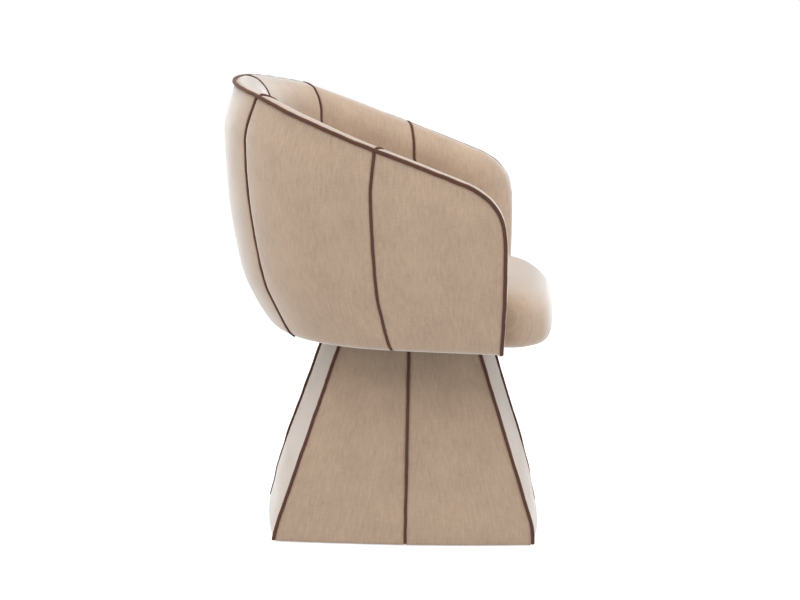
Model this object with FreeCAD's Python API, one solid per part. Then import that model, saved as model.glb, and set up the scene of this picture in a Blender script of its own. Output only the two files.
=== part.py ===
"""Pedestal swivel armchair: a padded barrel tub turning on a four-sided flared base.

Millimetres, +Z up, the origin on the floor under the swivel axis. The sitter faces -Y and the
sitter's left is +X. The formulas work in (forward, left, up) and are turned into that frame last.
"""
import math
import os

import FreeCAD
import Part
from FreeCAD import Vector

os.makedirs("parts", exist_ok=True)

# Clearances
TOUCH = 0.2              # between flat neighbouring pieces
LAYER_GAP = 0.9          # between the foam and the cloth over it
SHELL_GAP = 1.3          # between the plywood shell and the soft layers on both sides
BOARD_GAP = 0.8          # between the edge of the seat board and the shell
SEAM_ROOM = 0.7          # between a cord and the edges of the cloth beside it
CUSHION_GAP = 2.4        # between the cushion and the inner panels, room for their cords
RUNNING = 0.4            # between the two halves of the swivel
SHANK_FIT = 0.2          # round a bolt shank, on the radius

# Rim of the tub in plan: a superellipse round the back, then nearly straight arms
RIM_BACK = 312.0
RIM_WIDEST = 28.0        # behind the axis
RIM_FRONT = 178.0
RIM_HALF_WIDTH = 292.0
RIM_POWER = 2.4
ARM_TOE_IN = 5.0

# Rim of the tub from the side: (forward, height) from the foot of the arm front to the back
RIM_SIDE = [
    (175.5, 300.0), (176.0, 346.0), (177.5, 400.0), (178.0, 455.0), (176.8, 510.0),
    (175.0, 545.0), (171.5, 568.0), (165.0, 586.0), (155.0, 601.0), (143.0, 613.0),
    (124.0, 625.5), (99.0, 636.0), (60.0, 650.0), (21.0, 664.0), (-67.0, 694.0),
    (-165.0, 730.0), (-253.0, 762.0), (-312.0, 778.0),
]
RIM_CORNER = (160.0, 594.0)     # where the arm front turns into the arm top

# Plan size of the outer wall against height, as a share of the rim plan
WAIST = [
    (346.0, 0.836), (362.0, 0.858), (397.0, 0.898), (447.0, 0.955),
    (531.0, 0.996), (590.0, 1.018), (663.0, 1.028), (720.0, 1.030), (800.0, 1.030),
]
SHRINK_LEVEL = 60.0      # height over the bottom at which the seams are measured for their room
RIM_BLEND = 70.0         # height under the rim over which the swell fades in
TUB_BOTTOM = 346.0
BOTTOM_ROUND = 12.0
SEAM_ARM = -38.0         # forward position of the arm seam on the rim
SEAM_CORNER = -240.0     # forward position of the back corner seam on the rim

# Padded wall: section over the crest, (depth inwards, height over the rim line)
CREST = [
    (0.0, 0.0), (10.0, 3.5), (20.0, 4.0), (30.0, 0.5), (41.0, -9.0),
    (51.0, -20.0), (60.0, -34.0), (65.0, -47.0), (67.5, -62.0),
]
WALL_THICKNESS = 72.0
INNER_SKIN = 8.0
OUTER_SKIN = 14.0
SHELL_THICKNESS = 12.0
SHELL_BELOW_RIM = 22.0
PILLOW_OUTER = 6.0
PILLOW_INNER = 4.0
SEAT_LINE = 455.0        # height above which the inner panels swell

# Piping
RIM_PIPING = 3.2         # radius
SEAM_PIPING = 2.3        # radius
BASE_PIPING = 2.4        # radius
CORD_STEP = 9.0          # spacing of the rings a cord is lofted through
CORD_SIDES = 12          # points round each ring
RIM_STEP = 10.0          # the same two for the long rim cord
RIM_SIDES = 8

# Seat
SEAT_BOARD_BOTTOM = 347.0
SEAT_BOARD_THICKNESS = 18.0
TONGUE_HALF_WIDTH = 148.0
TONGUE_FRONT = 228.0
BOARD_SHOULDER = 150.0   # forward edge of the board under the arms
NOSE_FRONT = 261.5
NOSE_POWER = 3.6
NOSE_SPREAD = 12.0       # how far the cushion widens where the arm fronts round away
# Cushion levels: (height, side inset, nose inset)
CUSHION = [
    (346.0, 12.0, 25.0), (350.0, 5.0, 14.0), (357.0, 1.5, 7.0), (368.0, 0.0, 2.5),
    (385.0, 0.0, 0.0), (405.0, 0.0, 1.5), (420.0, 2.5, 7.0), (432.0, 7.0, 16.0),
    (442.0, 15.0, 28.0), (450.0, 30.0, 44.0), (455.0, 52.0, 64.0), (458.5, 82.0, 92.0),
    (460.0, 118.0, 126.0),
]

# Base: four flared faces, half sizes measured on the corner seams
BASE_HEIGHT = 328.0
BASE_FOOT_HALF = 231.0
BASE_TOP_HALF = 121.0
BASE_TURN = 6.1          # degrees the base stands turned under the seat
CROWN_ENDS = 23.0        # swell of the front and back faces
CROWN_SIDES = 4.0        # swell of the left and right faces
CROWN_FOOT = 0.55        # share of the swell left at the floor
CROWN_FADE = 80.0        # height over which it grows back
BASE_PAD = 14.0
BASE_BOARD = 12.0
BASE_TOP_BOARD = 18.0
BASE_FOOT_ROUND = 9.0
COVER_FOOT = 2.0
FOOT_CLEARANCE = 3.2     # height of the foot board over the floor
PAD_INSET = 4.0          # how far the pad stays inside the foot board
CLOTH = 1.0

# Swivel
PLATE_HALF = 85.0
PLATE = 3.0
PLATE_CORNER = 12.0
RACE_INNER = 46.0
RACE_OUTER = 58.0
BALL_RADIUS = 3.0
BALL_COUNT = 18
PIVOT_RADIUS = 15.0
PIVOT_BORE = 11.5
PIVOT_FLANGE = 20.0
FIXING_OFFSET = 68.0
BOLT_RADIUS = 3.0
HEAD_RADIUS = 6.0
HEAD_HEIGHT = 3.4
SCREW_LENGTH = 26.0
TNUT_RADIUS = 4.6
TNUT_FLANGE = 9.5


def world(forward, left, up):
    """Turn (forward, left, up) into the frame: forward is -Y and left is +X."""
    return Vector(left, -forward, up)


def ease(t):
    """Smooth step: 3t^2 - 2t^3 with t held between 0 and 1."""
    t = max(0.0, min(1.0, t))
    return t * t * (3.0 - 2.0 * t)


def table(points, x):
    """Cubic through (x, y) pairs with slopes limited so that it never overshoots."""
    if x <= points[0][0]:
        return points[0][1]
    if x >= points[-1][0]:
        return points[-1][1]
    slopes = []
    for a, b in zip(points, points[1:]):
        slopes.append((b[1] - a[1]) / (b[0] - a[0]))
    tangents = [slopes[0]]
    for p, q in zip(slopes, slopes[1:]):
        tangents.append(0.0 if p * q <= 0 else 2.0 * p * q / (p + q))
    tangents.append(slopes[-1])
    i = 0
    while points[i + 1][0] < x:
        i += 1
    h = points[i + 1][0] - points[i][0]
    t = (x - points[i][0]) / h
    low = points[i][1] * (1 + 2 * t) * (1 - t) ** 2 + h * tangents[i] * t * (1 - t) ** 2
    high = points[i + 1][1] * t * t * (3 - 2 * t) + h * tangents[i + 1] * t * t * (t - 1)
    return low + high


def half_plan():
    """Rim in plan from the arm front to the middle of the back: (run, forward, left)."""
    points = []
    for i in range(120):
        forward = RIM_FRONT - (RIM_FRONT + RIM_WIDEST) * i / 120.0
        share = (forward + RIM_WIDEST) / (RIM_FRONT + RIM_WIDEST)
        points.append((forward, RIM_HALF_WIDTH - ARM_TOE_IN * share ** 2))
    for i in range(241):
        a = math.pi / 2 * (1.0 - i / 240.0)
        sine = max(math.sin(a), 0.0)
        cosine = max(math.cos(a), 0.0)
        forward = -RIM_WIDEST - (RIM_BACK - RIM_WIDEST) * cosine ** (2.0 / RIM_POWER)
        points.append((forward, RIM_HALF_WIDTH * sine ** (2.0 / RIM_POWER)))
    rows = [(0.0, points[0][0], points[0][1])]
    for p in points[1:]:
        last = rows[-1]
        rows.append((last[0] + math.hypot(p[0] - last[1], p[1] - last[2]), p[0], p[1]))
    return rows


PLAN = half_plan()
PLAN_LENGTH = PLAN[-1][0]


def plan_point(run):
    """Point of the rim plan at a run from the arm front, straight on past either end."""
    if run <= 0.0:
        share = -run / (PLAN[4][0])
        return (PLAN[0][1] + (PLAN[0][1] - PLAN[4][1]) * share,
                PLAN[0][2] + (PLAN[0][2] - PLAN[4][2]) * share)
    if run > PLAN_LENGTH:
        mirror = plan_point(2 * PLAN_LENGTH - run)
        return mirror[0], -mirror[1]
    low, high = 0, len(PLAN) - 1
    while high - low > 1:
        mid = (low + high) // 2
        if PLAN[mid][0] <= run:
            low = mid
        else:
            high = mid
    a, b = PLAN[low], PLAN[high]
    t = (run - a[0]) / (b[0] - a[0])
    return a[1] + (b[1] - a[1]) * t, a[2] + (b[2] - a[2]) * t


def run_at(forward):
    """Run along the plan at which it reaches a forward position."""
    if forward >= RIM_FRONT:
        return RIM_FRONT - forward
    for a, b in zip(PLAN, PLAN[1:]):
        if b[1] <= forward:
            return a[0] + (b[0] - a[0]) * (forward - a[1]) / (b[1] - a[1])
    return PLAN_LENGTH


def rim_line():
    """Rim from the side as a smooth line of (run, height), carried on past the middle."""
    knots = [(run_at(forward), height) for forward, height in RIM_SIDE]
    knots = knots + [(2 * PLAN_LENGTH - knots[-2][0], knots[-2][1])]
    line = []
    for i in range(len(knots) - 1):
        a = knots[max(i - 1, 0)]
        b, c = knots[i], knots[i + 1]
        d = knots[min(i + 2, len(knots) - 1)]
        span = math.hypot(c[0] - b[0], c[1] - b[1])
        before = math.hypot(c[0] - a[0], c[1] - a[1])
        after = math.hypot(d[0] - b[0], d[1] - b[1])
        for j in range(10):
            t = j / 10.0
            h0, h1 = (1 + 2 * t) * (1 - t) ** 2, t * (1 - t) ** 2
            h2, h3 = t * t * (3 - 2 * t), t * t * (t - 1)
            line.append(tuple(
                h0 * b[k] + h2 * c[k] + span * (h1 * (c[k] - a[k]) / before
                                                + h3 * (d[k] - b[k]) / after)
                for k in range(2)))
    line.append(knots[-1])
    return line


RIM_LINE = rim_line()
ARM_RUN = run_at(SEAM_ARM)
CORNER_RUN = run_at(SEAM_CORNER)


def inset_line(inset):
    """The rim line moved inwards, at right angles to itself."""
    line = []
    for i, p in enumerate(RIM_LINE):
        a = RIM_LINE[max(i - 1, 0)]
        b = RIM_LINE[min(i + 1, len(RIM_LINE) - 1)]
        size = math.hypot(b[0] - a[0], b[1] - a[1])
        line.append((p[0] + (b[1] - a[1]) / size * inset, p[1] - (b[0] - a[0]) / size * inset))
    return line


def height_on(line, run):
    """Height of a line of (run, height) over a run, on its upper part."""
    for a, b in zip(line[::-1], line[-2::-1]):
        if b[0] <= run <= a[0]:
            return b[1] + (a[1] - b[1]) * (run - b[0]) / max(a[0] - b[0], 1e-9)
    return line[30][1]


def from_rim(run, height):
    """Distance to the rim line and the direction towards it, in (run, height)."""
    best = None
    for a, b in zip(RIM_LINE, RIM_LINE[1:]):
        size = (b[0] - a[0]) ** 2 + (b[1] - a[1]) ** 2
        t = ((run - a[0]) * (b[0] - a[0]) + (height - a[1]) * (b[1] - a[1])) / size
        t = max(0.0, min(1.0, t))
        p = (a[0] + (b[0] - a[0]) * t, a[1] + (b[1] - a[1]) * t)
        gap = math.hypot(p[0] - run, p[1] - height)
        if best is None or gap < best[0]:
            best = (gap, p)
    gap, p = best
    if gap < 1e-6:
        return 0.0, (0.0, 1.0)
    return gap, ((p[0] - run) / gap, (p[1] - height) / gap)


def crest_rows():
    """The crest section measured along itself: (length, depth, height)."""
    rows = [(0.0, 0.0, 0.0)]
    for p in CREST[1:]:
        last = rows[-1]
        rows.append((last[0] + math.hypot(p[0] - last[1], p[1] - last[2]), p[0], p[1]))
    return rows


CREST_ROWS = crest_rows()
CREST_LENGTH = CREST_ROWS[-1][0]
CREST_REACH = -CREST[-1][1]


def crest_at(length):
    """Smooth point of the crest section at a length along it."""
    depth = table([(r[0], r[1]) for r in CREST_ROWS], length)
    i = 0
    while i < len(CREST_ROWS) - 2 and CREST_ROWS[i + 1][0] < length:
        i += 1
    a = CREST_ROWS[max(i - 1, 0)]
    b, c = CREST_ROWS[i], CREST_ROWS[i + 1]
    d = CREST_ROWS[min(i + 2, len(CREST_ROWS) - 1)]
    span = c[0] - b[0]
    t = (length - b[0]) / span
    m0 = span * (c[2] - a[2]) / (c[0] - a[0])
    m1 = span * (d[2] - b[2]) / (d[0] - b[0])
    height = (b[2] * (1 + 2 * t) * (1 - t) ** 2 + m0 * t * (1 - t) ** 2
              + c[2] * t * t * (3 - 2 * t) + m1 * t * t * (t - 1))
    return depth, height


def section(inside, under):
    """Depth and inward shift of the padded section at a distance inside the rim line.

    The section rolls over the crest for the first part of the way and then runs straight
    down; under is how far below that surface the wanted layer lies.
    """
    if inside >= CREST_REACH:
        grown = (WALL_THICKNESS - CREST[-1][0]) * ease((inside - CREST_REACH) / 60.0)
        return CREST[-1][0] + grown - under, inside
    length = max(inside, 0.05) * CREST_LENGTH / CREST_REACH
    depth, height = crest_at(length)
    if under == 0.0:
        return depth, -height
    a = crest_at(max(length - 1.0, 0.0))
    b = crest_at(min(length + 1.0, CREST_LENGTH - 0.01))
    size = math.hypot(b[0] - a[0], b[1] - a[1])
    return (depth + (b[1] - a[1]) / size * under, -(height - (b[0] - a[0]) / size * under))


def wall(run, height, depth, side):
    """Point of the wall: the rim plan scaled about the arm front by the waist at that height.

    depth is measured inwards along the plan normal; side is +1 for left and -1 for right.
    """
    forward, left = plan_point(run)
    a = plan_point(run - 2.0)
    b = plan_point(run + 2.0)
    size = math.hypot(b[0] - a[0], b[1] - a[1])
    normal = ((b[1] - a[1]) / size, -(b[0] - a[0]) / size)
    if normal[0] * (-60.0 - forward) + normal[1] * (-left) < 0:
        normal = (-normal[0], -normal[1])
    scale = table(WAIST, height)
    if scale > 1.0:
        top = height_on(RIM_LINE, max(run, 1.0)) if run < PLAN_LENGTH else RIM_SIDE[-1][1]
        scale = 1.0 + (scale - 1.0) * ease((top - height) / RIM_BLEND)
    forward = RIM_FRONT - (RIM_FRONT - forward) * scale
    return world(forward + normal[0] * depth, side * (left * scale + normal[1] * depth), height)


def swell(across):
    """Pillow across a panel: 0 at both seams, 1 in the middle, steep next to the seams."""
    return max(0.0, 4.0 * across * (1.0 - across)) ** 0.7


# Spacing of the points of a panel, closer where it bends
ROWS_FOOT = [0.0, 0.006, 0.014, 0.023, 0.034, 0.05, 0.075, 0.11, 0.16]
ROWS_PLAIN = ROWS_FOOT + [0.16 + 0.84 * (1.0 - (1.0 - i / 10.0) ** 1.15) for i in range(1, 11)]
ROWS_CREST = ROWS_FOOT[::2] + [0.16 + 0.84 * (1.0 - (1.0 - i / 16.0) ** 1.6) for i in range(1, 17)]
COLUMNS_FRONT = [(i / 15.0) ** 1.5 for i in range(16)]
COLUMNS_EVEN = [i / 7.0 for i in range(8)]
COLUMNS_PLAIN = [0.5 - 0.5 * math.cos(math.pi * i / 11.0) for i in range(12)]


def seam_trim(run, depth):
    """Run that a panel keeps clear of a seam so that its edge just misses the cord there.

    The run is shorter on the wall than on the rim plan where the wall lies inside it.
    """
    at = TUB_BOTTOM + SHRINK_LEVEL
    short = wall(run - 2.0, at, depth, 1).distanceToPoint(wall(run + 2.0, at, depth, 1)) / 4.0
    return (SEAM_PIPING + SEAM_ROOM) / min(short, 1.0)


def field(start, stop, inset, depth, columns, rows, bottom):
    """Grid of (run, height, across, up) over one panel of the half wall.

    start None is the arm front, where the panel follows the rim line down to the floor edge:
    there the grid is the Coons patch of its four border lines. inset keeps it off the rim
    line; depth is the depth of its face in the wall, or None to let it run through its seams.
    """
    line = inset_line(inset)
    first = 0.0 if depth is None or start is None else seam_trim(start, depth)
    trim = 0.0 if depth is None else seam_trim(stop, depth)
    grid = []
    if start is None:
        target = (run_at(RIM_CORNER[0]), RIM_CORNER[1])
        turn = min(range(len(line) - 40), key=lambda i: math.dist(line[i], target))
        foot = min(range(turn), key=lambda i: abs(line[i][1] - bottom))
        last = stop - trim
        over = [p for p in line[turn:] if p[0] < last] + [(last, height_on(line, last))]
        front = [(line[foot][0], bottom)] + line[foot + 1:turn + 1]
        for a in columns:
            column = []
            for b in rows:
                f0, f1 = along(front, b), along(over, a)
                s = (last, bottom + (over[-1][1] - bottom) * b)
                g = (front[0][0] + (last - front[0][0]) * a, bottom)
                point = []
                for k in range(2):
                    corners = ((1 - a) * (1 - b) * front[0][k] + a * b * over[-1][k]
                               + (1 - a) * b * over[0][k] + a * (1 - b) * (last, bottom)[k])
                    point.append((1 - b) * g[k] + b * f1[k] + (1 - a) * f0[k] + a * s[k] - corners)
                column.append((point[0], point[1], a, b))
            grid.append(column)
        return grid
    for a in columns:
        run = start + first + (stop - start - first - trim) * a
        top = height_on(line, run)
        grid.append([(run, bottom + (top - bottom) * b, a, b) for b in rows])
    return grid


def along(line, share):
    """Point at a share of the length of a line of points."""
    lengths = [0.0]
    for a, b in zip(line, line[1:]):
        lengths.append(lengths[-1] + math.dist(a, b))
    goal = share * lengths[-1]
    for i in range(len(line) - 1):
        if lengths[i + 1] >= goal - 1e-9:
            t = (goal - lengths[i]) / max(lengths[i + 1] - lengths[i], 1e-9)
            a, b = line[i], line[i + 1]
            return tuple(a[k] + (b[k] - a[k]) * t for k in range(len(a)))
    return line[-1]


def surface(grid):
    """Smooth surface through a grid of points."""
    skin = Part.BSplineSurface()
    skin.interpolate(grid)
    return skin


def slab(outer, inner):
    """Solid between two skins of points, closed by straight faces round the border."""
    skins = [surface(outer), surface(inner)]
    faces = [skin.toShape() for skin in skins]
    for number in range(4):
        edges = []
        for skin in skins:
            u0, u1, v0, v1 = skin.bounds()
            if number < 2:
                edges.append(skin.uIso((u0, u1)[number]).toShape())
            else:
                edges.append(skin.vIso((v0, v1)[number - 2]).toShape())
        faces.append(Part.makeRuledSurface(edges[0], edges[1]))
    shell = Part.makeShell(faces)
    shell.sewShape()
    solid = Part.makeSolid(shell)
    if solid.Volume < 0:
        solid.reverse()
    return solid


def evenly(points, step):
    """Points at an even step along a dense line of points."""
    line = [(p.x, p.y, p.z) for p in points]
    length = sum(math.dist(a, b) for a, b in zip(line, line[1:]))
    count = max(4, round(length / step))
    return [Vector(*along(line, i / count)) for i in range(count + 1)]


def loft(sections):
    """Solid through closed flat outlines, each a list of points."""
    wires = []
    for points in sections:
        curve = Part.BSplineCurve()
        curve.interpolate(Points=points, PeriodicFlag=True)
        wires.append(Part.Wire([curve.toShape()]))
    return Part.makeLoft(wires, True, False)


def tube(points, radius, step=CORD_STEP, sides=CORD_SIDES):
    """Round cord along a smooth line of points, skinned over rings at right angles to it."""
    points = evenly(points, step)
    rings = []
    last = len(points) - 1
    side = None
    for i, p in enumerate(points):
        way = points[min(i + 1, last)] - points[max(i - 1, 0)]
        way.normalize()
        if side is None:
            side = way.cross(Vector(0.3, 0.2, 0.9))
        side = side - way * side.dot(way)
        side.normalize()
        up = way.cross(side)
        turns = [2 * math.pi * j / sides for j in range(sides)]
        ring = [p + side * (radius * math.cos(a)) + up * (radius * math.sin(a)) for a in turns]
        rings.append(ring + [ring[0]])
    whole = surface(rings)
    u0, u1, v0, v1 = whole.bounds()
    middle = (v0 + v1) / 2
    halves = [whole.copy(), whole.copy()]
    halves[0].segment(u0, u1, v0, middle)
    halves[1].segment(u0, u1, middle, v1)
    faces = [half.toShape() for half in halves]
    for u in (u0, u1):
        faces.append(Part.Face(Part.Wire([half.uIso(u).toShape() for half in halves])))
    shell = Part.makeShell(faces)
    shell.sewShape()
    solid = Part.makeSolid(shell)
    if solid.Volume < 0:
        solid.reverse()
    return solid


def prism(sections):
    """Solid with flat faces between two polygons at different heights."""
    wires = [Part.makePolygon(points + [points[0]]) for points in sections]
    return Part.makeLoft(wires, True, True)


def cylinder(radius, height, centre):
    """Upright cylinder standing on a centre point."""
    return Part.makeCylinder(radius, height, centre)


def save(name, shape):
    """Write one node."""
    if shape.ShapeType == "Compound" and len(shape.Solids) == 1:
        shape = shape.Solids[0]
    shape.exportStep("parts/" + name + ".step")


# Panels of the tub: name, start and end run, on each side
PANELS = [
    ("arm", None, ARM_RUN),
    ("side", ARM_RUN, CORNER_RUN),
    ("back", CORNER_RUN, PLAN_LENGTH),
]
SIDES = [("left", 1), ("right", -1)]
SEAM_TRIM = SEAM_PIPING + SEAM_ROOM
LINING_DROP = 10.5       # how far the lining of an outer panel ends below the rim cord


def outer_point(spot, under, side):
    """Point of the outer skin of the tub, or of its lining under it."""
    run, height, across, up = spot
    lift = PILLOW_OUTER * swell(across) * ease((1.0 - up) * 5.0) * ease((height - TUB_BOTTOM) / 60.0)
    depth = under
    if under == 0.0:
        over = max(0.0, TUB_BOTTOM + BOTTOM_ROUND - height)
        depth = BOTTOM_ROUND - math.sqrt(max(BOTTOM_ROUND ** 2 - over ** 2, 0.0)) - lift
    return wall(run, height, depth, side)


def inner_point(spot, under, side):
    """Point of the inner skin: rolled over the crest and round the arm front."""
    run, height, across, up = spot
    inside, way = from_rim(run, height)
    depth, shift = section(inside, under)
    swollen = ease((height - SEAT_LINE) / 60.0) * ease(inside / 30.0)
    lift = PILLOW_INNER * swell(across) * swollen if under == 0.0 else 0.0
    move = inside - shift
    return wall(run + way[0] * move, height + way[1] * move, depth + lift, side)


# Layers of the wall and levels of the board, measured inwards and upwards
SHELL_BACK = OUTER_SKIN + SHELL_GAP
SHELL_FACE = SHELL_BACK + SHELL_THICKNESS
BOARD_TOP = SEAT_BOARD_BOTTOM + SEAT_BOARD_THICKNESS


def board_outline(height, edge):
    """Outline of the seat board at a height, edge being how far it stays inside the shell."""
    half = []
    steps = 22
    first = run_at(BOARD_SHOULDER)
    for i in range(steps + 1):
        run = first + (PLAN_LENGTH - first) * i / steps
        p = wall(run, height, SHELL_FACE + edge, 1)
        half.append((-p.y, p.x))
    tongue = TONGUE_HALF_WIDTH - edge
    front = TONGUE_FRONT - edge
    nose = [(front, 0.0), (front, tongue - 30.0), (front - 9.0, tongue - 9.0),
            (front - 30.0, tongue), (half[0][0], tongue)]
    half = nose + half
    half[-1] = (half[-1][0], 0.0)
    points = [world(p[0], p[1], height) for p in half]
    return points + [world(p[0], -p[1], height) for p in half[-2:0:-1]]


def board_room():
    """Room for the seat board and its cloth, cut out of the pieces that come down beside it."""
    return prism([board_outline(SEAT_BOARD_BOTTOM - 2.0, 0.0), board_outline(BOARD_TOP + TOUCH, 0.0)])


# Outer panels: fabric over a thin pad, from the bottom edge up to the rim piping
for name, start, stop in PANELS:
    columns = COLUMNS_FRONT if start is None else COLUMNS_PLAIN
    skin = field(start, stop, RIM_PIPING + SEAM_ROOM, 0.0, columns, ROWS_PLAIN, TUB_BOTTOM)
    lining = field(start, stop, RIM_PIPING + LINING_DROP, 0.0, columns, ROWS_PLAIN, TUB_BOTTOM)
    for side_name, side in SIDES:
        outer = [[outer_point(s, 0.0, side) for s in column] for column in skin]
        inner = [[outer_point(s, OUTER_SKIN, side) for s in column] for column in lining]
        save("outer_panel_" + name + "_" + side_name, slab(outer, inner))

PIPING_EDGE = 2.3        # where the inner skin leaves the rim cord, measured inside the rim line

# Inner panels: from behind the seat up over the crest, and round the front of each arm
for name, start, stop in PANELS:
    columns = COLUMNS_FRONT if start is None else COLUMNS_PLAIN
    foot = TUB_BOTTOM if start is None else SEAT_BOARD_BOTTOM + SEAT_BOARD_THICKNESS + TOUCH
    grid = field(start, stop, PIPING_EDGE, WALL_THICKNESS, columns, ROWS_CREST, foot)
    for side_name, side in SIDES:
        outer = [[inner_point(s, 0.0, side) for s in column] for column in grid]
        inner = [[inner_point(s, INNER_SKIN, side) for s in column] for column in grid]
        panel = slab(outer, inner)
        if start is None:
            panel = panel.cut(board_room())
        save("inner_panel_" + name + "_" + side_name, panel)

# Foam of the wall: one U-shaped block over the inner face and the top of the shell


def mirror_grid(front_columns, side_columns, back_columns):
    """Columns of both halves of the wall in one row from the right arm to the left arm."""
    half = front_columns + side_columns[1:] + back_columns[1:]
    right = [(column, -1) for column in half]
    left = [(column, 1) for column in half[:-1][::-1]]
    return right + left


def whole_field(inset, rows, bottom, columns_front):
    """The three panel fields of a half wall joined up, without any trim at the seams."""
    grids = []
    for name, start, stop in PANELS:
        columns = columns_front if start is None else COLUMNS_EVEN
        grids.append(field(start, stop, inset, None, columns, rows, bottom))
    return mirror_grid(*grids)


def foam_back(spot, side):
    """Hidden face of the foam: over the shell top and down its inner face."""
    inside, way = from_rim(spot[0], spot[1])
    face = SHELL_FACE + SHELL_GAP
    over = ease((inside - 9.0) / 16.0)
    depth = OUTER_SKIN + 1.5 + (face - OUTER_SKIN - 1.5) * over
    shift = 11.5 + max(0.0, inside - 9.0) ** 2 / (2.0 * (CREST_REACH - 9.0))
    shift = shift + (inside - shift) * ease((inside - 9.0) / (CREST_REACH - 9.0))
    move = inside - min(shift, inside + 9.0)
    return wall(spot[0] + way[0] * move, spot[1] + way[1] * move, depth, side)


foam = whole_field(9.0, ROWS_CREST, BOARD_TOP + LAYER_GAP, COLUMNS_FRONT)
outer = [[inner_point(s[:2] + (0.0, s[3]), INNER_SKIN + LAYER_GAP, side) for s in column]
         for column, side in foam]
inner = [[foam_back(s, side) for s in column] for column, side in foam]
save("wall_foam", slab(outer, inner))

# Bent plywood shell inside the wall, standing round the edge of the seat board
shell = whole_field(SHELL_BELOW_RIM, ROWS_PLAIN, SEAT_BOARD_BOTTOM, COLUMNS_FRONT)
outer = [[wall(s[0], s[1], SHELL_BACK, side) for s in column] for column, side in shell]
inner = [[wall(s[0], s[1], SHELL_FACE, side) for s in column] for column, side in shell]
shell_solid = slab(outer, inner)

# Piping of the tub: the rim cord, then a cord in each seam outside and inside


def rim_path():
    """Points of the rim cord from the foot of the right arm round to the foot of the left."""
    line = [p for p in RIM_LINE if p[1] >= TUB_BOTTOM + 4.0 and p[0] < PLAN_LENGTH - 4.0]
    right = [wall(p[0], p[1], 0.0, -1) for p in line]
    middle = [wall(PLAN_LENGTH, RIM_SIDE[-1][1], 0.0, 1)]
    left = [wall(p[0], p[1], 0.0, 1) for p in line[::-1]]
    return right + middle + left


save("rim_piping", tube(rim_path(), RIM_PIPING, RIM_STEP, RIM_SIDES))

SEAMS = [("arm", ARM_RUN), ("corner", CORNER_RUN), ("centre", PLAN_LENGTH)]
CORD_SINK = 0.5          # how far a seam cord lies in its groove
INNER_SEAM_END = 385.0   # the inner seams end behind the cushion
for name, run in SEAMS:
    top = height_on(inset_line(RIM_PIPING + SEAM_PIPING), run)
    start = from_rim(run, top)[0]
    for side_name, side in SIDES:
        if name == "centre" and side < 0:
            continue
        label = name if name == "centre" else name + "_" + side_name
        low = TUB_BOTTOM + 6.0
        heights = [low + (top - low) * i / 90.0 for i in range(91)]
        points = [outer_point((run, z, 0.0, 1.0), 0.0, side) for z in heights]
        inward = [wall(run, z, 10.0, side) - wall(run, z, 0.0, side) for z in heights]
        points = [p + d * (CORD_SINK / 10.0) for p, d in zip(points, inward)]
        save("outer_piping_" + label, tube(points, SEAM_PIPING))
        foot = top - INNER_SEAM_END
        spots = [(run, top - foot * i / 160.0) for i in range(161)]
        points = [inner_point(s + (0.0, 1.0), CORD_SINK, side) for s in spots]
        save("inner_piping_" + label, tube(points, SEAM_PIPING))

# Seat board
board_form = prism([board_outline(SEAT_BOARD_BOTTOM, BOARD_GAP), board_outline(BOARD_TOP, BOARD_GAP)])

# Fixings of the two swivel plates, and the screws that hold the shell to the board
CORNERS = [(sx * FIXING_OFFSET, sy * FIXING_OFFSET) for sx in (-1, 1) for sy in (-1, 1)]
UPPER_PLATE_BOTTOM = SEAT_BOARD_BOTTOM - PLATE
LOWER_PLATE_TOP = BASE_HEIGHT + PLATE


def fuse_all(shapes):
    """One shape from several."""
    return shapes[0].multiFuse(shapes[1:]) if len(shapes) > 1 else shapes[0]


bolts = []
tnuts = []
board = board_form
for x, y in CORNERS:
    shank_foot = UPPER_PLATE_BOTTOM - 0.01
    head = cylinder(HEAD_RADIUS, HEAD_HEIGHT, Vector(x, y, UPPER_PLATE_BOTTOM - HEAD_HEIGHT))
    shank = cylinder(BOLT_RADIUS, BOARD_TOP - 2.5 - shank_foot, Vector(x, y, shank_foot))
    bolts.append(head.fuse(shank))
    barrel = cylinder(TNUT_RADIUS, 10.0, Vector(x, y, BOARD_TOP - 12.0))
    flange = cylinder(TNUT_FLANGE, 1.5, Vector(x, y, BOARD_TOP - 2.0))
    bore = cylinder(BOLT_RADIUS + 0.05, 16.0, Vector(x, y, BOARD_TOP - 14.0))
    tnuts.append(barrel.fuse(flange).cut(bore))
    board = board.cut(cylinder(TNUT_RADIUS + 0.1, 30.0, Vector(x, y, BOARD_TOP - 12.0)))
    board = board.cut(cylinder(TNUT_FLANGE + 0.3, 5.0, Vector(x, y, BOARD_TOP - 2.0)))
    board = board.cut(cylinder(BOLT_RADIUS + SHANK_FIT, 40.0, Vector(x, y, BOARD_TOP - 30.0)))
board = board.cut(cylinder(PIVOT_FLANGE + 3.0, 40.0, Vector(0, 0, SEAT_BOARD_BOTTOM - 10.0)))

SCREW_RUNS = [0.18, 0.36, 0.54, 0.72, 0.9]
screws = []
screw_height = SEAT_BOARD_BOTTOM + SEAT_BOARD_THICKNESS / 2
for share in SCREW_RUNS:
    for side_name, side in SIDES:
        head_at = wall(PLAN_LENGTH * share, screw_height, SHELL_BACK, side)
        deeper = wall(PLAN_LENGTH * share, screw_height, SHELL_BACK + 10.0, side)
        way = deeper - head_at
        way.normalize()
        head = Part.makeCylinder(3.4, 2.0, head_at + way * 3.0, way)
        shank = Part.makeCylinder(1.8, 30.0, head_at + way * 4.9, way)
        screws.append(head.fuse(shank))
        shell_solid = shell_solid.cut(Part.makeCylinder(3.6, 9.1, head_at - way * 4.0, way))
        shell_solid = shell_solid.cut(Part.makeCylinder(1.85, 30.0, head_at, way))
        board = board.cut(Part.makeCylinder(1.81, 36.0, head_at, way))
save("tub_shell", shell_solid)
save("seat_board", board)
save("shell_screws", Part.makeCompound(screws))
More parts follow.
